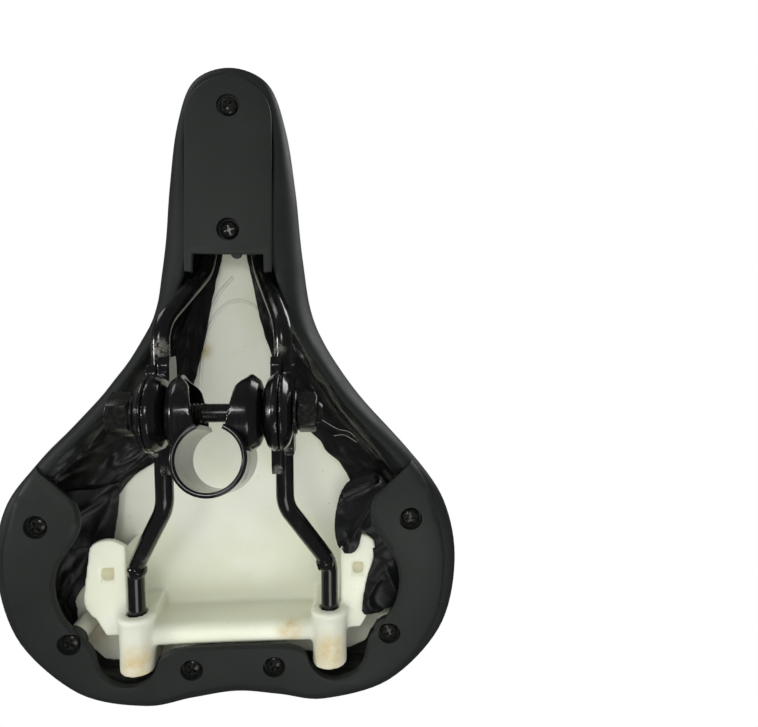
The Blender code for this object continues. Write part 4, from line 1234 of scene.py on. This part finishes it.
def make_rear_cover():
    """The U-shaped cover under the rim: a gently crowned plate whose front ends wrap outward."""
    count = 170
    ribs = [rib for rib in make_ribs(16) if rib.edge.x >= 0.0 and rib.edge.y > ARM_FRONT_Y]
    inner = evenly([Vector(point) for point in rear_cover_inner_edge()], count)
    insets = []
    path = []
    for rib in ribs:
        y = rib.edge.y
        inset = mix(0.0011, rim_inset(y) + 0.0006, smooth(ARM_FRONT_Y, 0.034, y))
        insets.append(inset)
        path.append(rib.point(inset))
    outer = evenly(path, count)
    sides = [0.0, 0.02, 0.05, 0.1, 0.16, 0.24, 0.34, 0.46, 0.6, 0.74, 0.86, 0.94, 0.98, 1.0]
    rows = []
    for a, b in zip(outer, inner):
        nearest = min(range(len(path)), key=lambda i: (path[i] - a).length_squared)
        width = (b - a).length
        rows.append([(a.lerp(b, share), insets[nearest] + share * width, share) for share in sides])
    rows += [[(Vector((-p.x, p.y)), i, share) for p, i, share in row] for row in reversed(rows[:-1])]
    last = len(rows) - 1
    under, over = [], []
    for i, row in enumerate(rows):
        tip = min(i, last - i) / 5.0
        low_row, high_row = [], []
        for p, inset, share in row:
            ceiling = side_height(p.y, inset) - GAP
            away = min(share, 1.0 - share) * 2.0
            roll = 0.0012 * (1.0 - smooth(0.0, 0.16, away)) ** 2 + 0.0010 * max(1.0 - tip, 0.0) ** 2
            crown = 0.0007 * (1.0 - (2.0 * share - 1.0) ** 2) * smooth(0.0, 2.0, tip)
            low_row.append(Vector((p.x, p.y, ceiling - REAR_COVER_THICKNESS + min(roll, 0.0018) - crown)))
            high_row.append(Vector((p.x, p.y, ceiling)))
        under.append(low_row)
        over.append(high_row)
    bm = bmesh.new()
    lower = [[bm.verts.new(point) for point in row] for row in under]
    upper = [[bm.verts.new(point) for point in row] for row in over]
    across = len(sides)
    for i in range(last):
        for j in range(across - 1):
            bm.faces.new((lower[i][j], lower[i][j + 1], lower[i + 1][j + 1], lower[i + 1][j]))
            bm.faces.new((upper[i][j], upper[i + 1][j], upper[i + 1][j + 1], upper[i][j + 1]))
        for j in (0, across - 1):
            bm.faces.new((lower[i][j], lower[i + 1][j], upper[i + 1][j], upper[i][j]))
    for i in (0, last):
        for j in range(across - 1):
            bm.faces.new((lower[i][j], lower[i][j + 1], upper[i][j + 1], upper[i][j]))
    bmesh.ops.recalc_face_normals(bm, faces=bm.faces)
    cover = mesh_object("rear_panel", bm)
    for name, spot in rear_screws().items():
        seat_screw(cover, name, spot, plate_z(spot[1]), 0.0062, 0.0013)
    piece(cover, PLASTIC, "saddle", ["rear_cover"], smooth_angle=38.0)


# ---- Rail ----------------------------------------------------------------------------------


def make_burr(name, place, heading, seed):
    """A ragged ring of paint and metal where the rail was gripped to bend it."""
    profile = [(-0.0013, 0.0033), (-0.0009, 0.0036), (-0.0003, 0.0039), (0.0004, 0.0040),
               (0.0011, 0.0038), (0.0024, 0.0037), (0.0032, 0.0034)]
    bm = turned([*profile, (0.0032, 0.0028), (-0.0013, 0.0028)], 48, closed=True)
    for vert in bm.verts:
        if abs(vert.co.x) < 0.0015 and math.hypot(vert.co.y, vert.co.z) > 0.0035:
            spike = max(noise.noise(Vector((seed, vert.co.y * 900.0, vert.co.z * 900.0))), 0.0)
            grow = 1.0 + 0.45 * spike**1.5
            vert.co.y *= grow
            vert.co.z *= grow
            vert.co.x += 0.0012 * spike
    burr = mesh_object(name, bm)
    turn = Vector(heading).to_track_quat("X", "Z").to_matrix().to_4x4()
    burr.data.transform(Matrix.Translation(place) @ turn)
    piece(burr, RAIL_PAINT, "saddle")


def make_rail():
    half = [
        (SOCKET_X, RAIL_END_Y, SOCKET_Z), (SOCKET_X, 0.052, SOCKET_Z),
        (RAIL_HALF_SPACING, 0.0225, RAIL_Z), (RAIL_HALF_SPACING, -0.048, RAIL_Z),
        (0.0115, -0.0705, 0.0462), (0.009, -0.090, NOSE_RAIL_Z), (0.009, -0.119, NOSE_RAIL_Z),
    ]
    corners = [*half, *[(-x, y, z) for x, y, z in reversed(half)]]
    path = filleted(corners[:6], RAIL_BEND_RADIUS, 14)[:-1]
    tight = filleted([corners[5], corners[6], corners[7], corners[8]], NOSE_BEND_RADIUS, 14)
    path = [*path, *tight, *[Vector((-p.x, p.y, p.z)) for p in reversed(path)]]
    make_burr("rail_burr_left", (-0.0388, 0.0522, 0.0302), (-0.25, 0.90, 0.22), 3.0)
    make_burr("rail_burr_right", (0.0380, 0.0505, 0.0296), (0.27, 0.88, 0.23), 11.0)
    tube("rail_wire", path, RAIL_RADIUS, RAIL_PAINT, nodes=["rail"], resolution=14)


# ---- Seatpost clamp ------------------------------------------------------------------------


def about_bolt(bm):
    bmesh.ops.translate(bm, verts=bm.verts, vec=(0.0, BOLT_Y, BOLT_Z))
    return bm


def flipped(profile, side):
    return [(side * x, radius) for x, radius in profile]


def leaned(bm):
    bmesh.ops.rotate(bm, verts=bm.verts, cent=(0, 0, 0), matrix=Matrix.Rotation(-POST_LEAN, 3, "X"))
    return bm


def ear_mesh(side):
    """A dished ear about the bolt: its hollow faces the middle, and its lip is cut aslant."""
    profile = [
        (0.0169, BOLT_HOLE_RADIUS), (0.0169, 0.0088), (0.0157, 0.0120), (0.0130, 0.0141),
        (0.0083, 0.0143), (0.0083, 0.0124), (0.0124, 0.0122), (0.0142, 0.0106), (0.0150, 0.0082),
        (0.0150, BOLT_HOLE_RADIUS),
    ]
    bm = turned(flipped(profile, side), 72, closed=True)
    for vert in bm.verts:
        if abs(vert.co.x) < 0.0090:
            flare = 0.0062 - 0.20 * vert.co.y + 0.0040 * smooth(0.0085, 0.0143, -vert.co.y)
            vert.co.x = side * min(flare, 0.0121)
    bmesh.ops.translate(bm, verts=bm.verts, vec=(0.0, -BOLT_OFFSET, 0.0))
    return bm


def make_band():
    neck = math.degrees(math.asin(0.0042 / POST_RADIUS))
    half, wall = STRAP_HEIGHT / 2.0, STRAP_THICKNESS
    section = rounded([(0.0, -half), (wall, -half), (wall, -half + wall), (wall, half - wall),
                       (wall, half), (0.0, half), (0.0, half - wall), (0.0, -half + wall)], 3)
    bm = bmesh.new()
    rows = []
    for step in range(121):
        angle = math.radians(mix(-90.0 + neck, 270.0 - neck, step / 120.0))
        outward = Vector((math.cos(angle), math.sin(angle), 0.0))
        rows.append([bm.verts.new(outward * (POST_RADIUS + r) + Vector((0.0, 0.0, z))) for r, z in section])
    for first, second in zip(rows, rows[1:]):
        for i in range(len(section)):
            j = (i + 1) % len(section)
            bm.faces.new((first[i], first[j], second[j], second[i]))
    bm.faces.new(rows[0])
    bm.faces.new(reversed(rows[-1]))
    bmesh.ops.recalc_face_normals(bm, faces=bm.faces)
    parts = [leaned(bm)]
    for side in (1.0, -1.0):
        ear = mesh_object("ear", leaned(ear_mesh(side)))
        boolean(ear, "DIFFERENCE", leaned(prism(circle((0.0, 0.0), POST_RADIUS, 90), -0.03, 0.03)))
        soften(ear, 0.0004, 6)
        bm = bmesh.new()
        bm.from_mesh(ear.data)
        bpy.data.objects.remove(ear)
        parts.append(bm)
    band = mesh_object("band", merged(parts))
    piece(band, BAND_PAINT, "post_band", ["seatpost_band"], smooth_angle=50.0)


def rail_channel(side, low, high, ends_y):
    front, rear = ends_y
    bevel, under, over, slant = 0.003, 0.0062, 0.0056, 0.0012
    section = [
        (front, RAIL_Z - under + slant), (front + bevel, RAIL_Z - under),
        (rear - bevel, RAIL_Z - under), (rear, RAIL_Z - under + slant),
        (rear, RAIL_Z + over - slant), (rear - bevel, RAIL_Z + over),
        (front + bevel, RAIL_Z + over), (front, RAIL_Z + over - slant),
    ]
    ends = sorted((side * low, side * high))
    return prism(section, *ends, "X")


INNER_PROFILE = [
    (0.0172, BOLT_HOLE_RADIUS), (0.0172, 0.0090), (0.0186, 0.0125), (0.0208, 0.0142),
    (0.0228, 0.0142), (0.0228, 0.0123), (0.0209, 0.0118), (0.0196, 0.0108), (0.0192, 0.0085),
    (0.0192, BOLT_HOLE_RADIUS),
]
OUTER_PROFILE = [
    (OUTER_PLATE_FACE_X, BOLT_HOLE_RADIUS), (OUTER_PLATE_FACE_X, 0.0078), (0.0262, 0.0118),
    (0.0244, 0.0140), (0.0232, 0.0140), (0.0232, 0.0122), (0.0246, 0.0108), (0.0254, 0.0074),
    (0.0254, BOLT_HOLE_RADIUS),
]


def make_plate(name, side, profile, channel_x, ends_y, body, node):
    """A dished stamped plate with a channel for the rail."""
    plate = mesh_object(name, about_bolt(turned(flipped(profile, side), 72, closed=True)))
    boolean(plate, "UNION", rail_channel(side, *channel_x, ends_y))
    wire = circle((side * RAIL_HALF_SPACING, RAIL_Z), RAIL_RADIUS + GAP, 48)
    bore = circle((BOLT_Y, BOLT_Z), BOLT_HOLE_RADIUS, 48)
    boolean(plate, "DIFFERENCE", prism(wire, -0.06, 0.03, "Y"), prism(bore, -0.05, 0.05, "X"))
    soften(plate, 0.0004, 3)
    piece(plate, PLATE_PAINT, body, [node], smooth_angle=0.0)


def hexagon(name, x0, x1, flats=HEX_FLATS):
    """A chamfered hexagon about the X axis."""
    corner = flats / math.sqrt(3.0)
    made = mesh_object(name, prism(circle((0.0, 0.0), corner, 6), x0, x1, "X"))
    face, rim, chamfer = flats * 0.48, corner + 0.0001, 0.0010
    lens = [(x0, 0.0), (x0, face), (x0 + chamfer, rim), (x1 - chamfer, rim), (x1, face), (x1, 0.0)]
    boolean(made, "INTERSECT", turned(lens, 72))
    made.data.transform(Matrix.Translation((0.0, BOLT_Y, BOLT_Z)))
    return made


def threads(start, end, outer, depth=0.0006, pitch=0.00125):
    """Profile points of a thread along X, with whole turns from start to end."""
    points = []
    turns = max(int(abs(end - start) / pitch), 1)
    for i in range(turns):
        x = start + (end - start) * i / turns
        step = (end - start) / turns
        points += [(x, outer - depth), (x + step * 0.40, outer), (x + step * 0.60, outer)]
    return points


def make_bolt():
    waist = 0.0034
    profile = [
        (-HEX_X - 0.004, 0.0), (-HEX_X - 0.004, BOLT_RADIUS), (-0.0135, BOLT_RADIUS),
        *threads(-0.0130, -0.0038, 0.0036, 0.0005), (-0.0034, waist), (0.0095, waist),
        (0.0100, BOLT_RADIUS), *threads(0.0110, BOLT_END_X - 0.001, BOLT_RADIUS),
        (BOLT_END_X - 0.0006, BOLT_RADIUS - 0.0006), (BOLT_END_X, BOLT_RADIUS - 0.0012), (BOLT_END_X, 0.0),
    ]
    bolt = hexagon("bolt", -HEX_X - HEAD_HEIGHT, -HEX_X, 0.0140)
    boolean(bolt, "UNION", about_bolt(turned(profile, 48)))
    add_modifier(bolt, "BEVEL", width=0.00025, segments=2, limit_method="ANGLE", angle_limit=math.radians(45))
    piece(bolt, STEEL, "clamp_head", ["clamp_bolt"], smooth_angle=35.0)


def make_nut():
    nut = hexagon("nut", HEX_X, HEX_X + NUT_HEIGHT)
    bore = circle((BOLT_Y, BOLT_Z), BOLT_HOLE_RADIUS, 48)
    boolean(nut, "DIFFERENCE", prism(bore, 0.02, 0.05, "X"))
    add_modifier(nut, "BEVEL", width=0.00025, segments=2, limit_method="ANGLE", angle_limit=math.radians(45))
    piece(nut, STEEL, "nut", ["clamp_nut"], smooth_angle=35.0)


def make_washer(name, side, body, node):
    x0, x1 = WASHER_X, WASHER_X + WASHER_THICKNESS
    ring = [(x0, BOLT_HOLE_RADIUS), (x0, 0.0078), (x0 + 0.0003, 0.0082), (x1 - 0.0003, 0.0082),
            (x1, 0.0078), (x1, BOLT_HOLE_RADIUS)]
    washer = mesh_object(name, about_bolt(turned(flipped(ring, side), 64, closed=True)))
    piece(washer, STEEL, body, [node], smooth_angle=30.0)


# ---- Floor, light and camera ---------------------------------------------------------------


def make_floor():
    bm = bmesh.new()
    bmesh.ops.create_grid(bm, x_segments=2, y_segments=2, size=30.0)
    floor = mesh_object("floor", bm)
    floor.location.z = -0.42
    made = Finish("floor_paper", (0.92, 0.92, 0.92), 0.9, Emission_Strength=0.15)
    colour = made.blend(made.noise(3.0, 2.0), (0.91, 0.91, 0.91), (0.94, 0.94, 0.94))
    made.link(colour, "Base Color")
    floor.data.materials.append(made.made)
    floor.visible_glossy = False


def area_light(name, place, aim, size, power, shape_y=None):
    data = bpy.data.lights.new(name, "AREA")
    data.energy = power
    data.color = (0.97, 1.0, 0.97)
    data.size = size
    if shape_y:
        data.shape = "RECTANGLE"
        data.size_y = shape_y
    obj = bpy.data.objects.new(name, data)
    obj.location = place
    heading = Vector(aim) - Vector(place)
    obj.rotation_euler = heading.to_track_quat("-Z", "Y").to_euler()
    obj.visible_camera = False
    bpy.context.scene.collection.objects.link(obj)


def make_light():
    world = bpy.data.worlds.new("studio")
    world.use_nodes = True
    tree = world.node_tree
    background = tree.nodes["Background"]
    background.inputs["Color"].default_value = (1.0, 1.0, 1.0, 1.0)
    path = tree.nodes.new("ShaderNodeLightPath")
    strength = 0.62
    for rays, extra in (("Is Camera Ray", 0.38), ("Is Glossy Ray", -0.53)):
        node = tree.nodes.new("ShaderNodeMath")
        node.operation = "MULTIPLY_ADD"
        node.inputs[1].default_value = extra
        tree.links.new(path.outputs[rays], node.inputs[0])
        if isinstance(strength, float):
            node.inputs[2].default_value = strength
        else:
            tree.links.new(strength, node.inputs[2])
        strength = node.outputs[0]
    tree.links.new(strength, background.inputs["Strength"])
    bpy.context.scene.world = world
    area_light("under_key", (-0.08, -0.14, -0.38), (0.0, 0.0, 0.03), 0.09, 0.24)
    area_light("under_fill", (0.10, 0.24, -0.36), (0.0, 0.06, 0.03), 0.20, 0.30)
    area_light("edge_light", (-0.42, -0.05, -0.12), (0.0, 0.0, 0.02), 0.06, 0.45)
    area_light("over_key", (-0.45, 0.35, 0.75), (0.0, 0.0, 0.05), 0.30, 5.0)
    area_light("over_fill", (0.6, -0.5, 0.6), (0.0, 0.0, 0.05), 0.5, 3.0)
    area_light("side_fill", (-0.5, -0.7, 0.05), (0.0, -0.02, 0.03), 0.4, 1.2)


def make_camera():
    data = bpy.data.cameras.new("camera")
    data.lens = 28.59
    data.sensor_width = 36.0
    data.clip_start = 0.01
    camera = bpy.data.objects.new("camera", data)
    camera.location = (0.0436, -0.05105, -0.2163)
    camera.rotation_euler = [math.radians(angle) for angle in (175.528, 3.982, -0.005)]
    bpy.context.scene.collection.objects.link(camera)
    bpy.context.scene.camera = camera


def main():
    make_camera()
    make_light()
    make_floor()
    bpy.context.scene.view_settings.view_transform = "Standard"

    _count, skin = make_cover()
    make_red_stripe(skin)
    make_foam()
    shell = make_shell()
    make_mould_lines(shell)
    make_lining(shell, -1.0, LEFT_EDGE, 5.0)
    make_lining(shell, 1.0, RIGHT_EDGE, 21.0)
    make_scrap(
        "scrap_left",
        [(-0.0500, 0.0205), (-0.0508, 0.0340), (-0.0526, 0.0470), (-0.0600, 0.0472),
         (-0.0680, 0.0465), (-0.0700, 0.0300), (-0.0690, 0.0215), (-0.0600, 0.0225)],
        (0.0045, 0.0085), [((-0.0510, 0.0235), (-0.0680, 0.0330), 0.0016, 0.0012),
                           ((-0.0525, 0.0255), (-0.0600, 0.0430), 0.0009, 0.0009)], 3.0, shell,
    )
    tongue = [
        (0.0590, 0.0155), (0.0510, 0.0195), (0.0455, 0.0240), (0.0430, 0.0310), (0.0418, 0.0380),
        (0.0428, 0.0450), (0.0455, 0.0480), (0.0490, 0.0487), (0.0520, 0.0465), (0.0535, 0.0420),
        (0.0535, 0.0390), (0.0600, 0.0370), (0.0660, 0.0330), (0.0660, 0.0220),
    ]
    make_scrap(
        "scrap_right", rounded(tongue, 2), (0.0030, 0.0215),
        [((0.0600, 0.0200), (0.0455, 0.0262), 0.0024, 0.0011),
         ((0.0610, 0.0260), (0.0500, 0.0420), 0.0018, 0.0013),
         ((0.0640, 0.0320), (0.0545, 0.0400), 0.0016, 0.0012)], 8.0, shell,
    )
    fold = [
        (0.0530, 0.0385), (0.0565, 0.0425), (0.0584, 0.0480), (0.0584, 0.0520), (0.0555, 0.0600),
        (0.0541, 0.0680), (0.0532, 0.0755), (0.0590, 0.0755), (0.0720, 0.0700), (0.0745, 0.0550),
        (0.0720, 0.0420), (0.0640, 0.0330),
    ]
    make_fold("fold_right", rounded(fold, 1))
    make_threads()
    for name, spot in ALL_SCREWS.items():
        make_screw(name, spot)
    make_nose_cover()
    make_rear_cover()
    make_rail()

    make_band()
    inner = (INNER_PROFILE, INNER_CHANNEL_X, INNER_CHANNEL_Y)
    outer = (OUTER_PROFILE, OUTER_CHANNEL_X, OUTER_CHANNEL_Y)
    make_plate("plate_inner_left", -1.0, *inner, "clamp_head", "inner_plate_left")
    make_plate("plate_inner_right", 1.0, *inner, "clamp_head", "inner_plate_right")
    make_plate("plate_outer_left", -1.0, *outer, "clamp_head", "outer_plate_left")
    make_plate("plate_outer_right", 1.0, *outer, "release_plate", "outer_plate_right")
    make_bolt()
    make_nut()
    make_washer("ring_left", -1.0, "clamp_head", "washer_left")
    make_washer("ring_right", 1.0, "release_plate", "washer_right")


main()
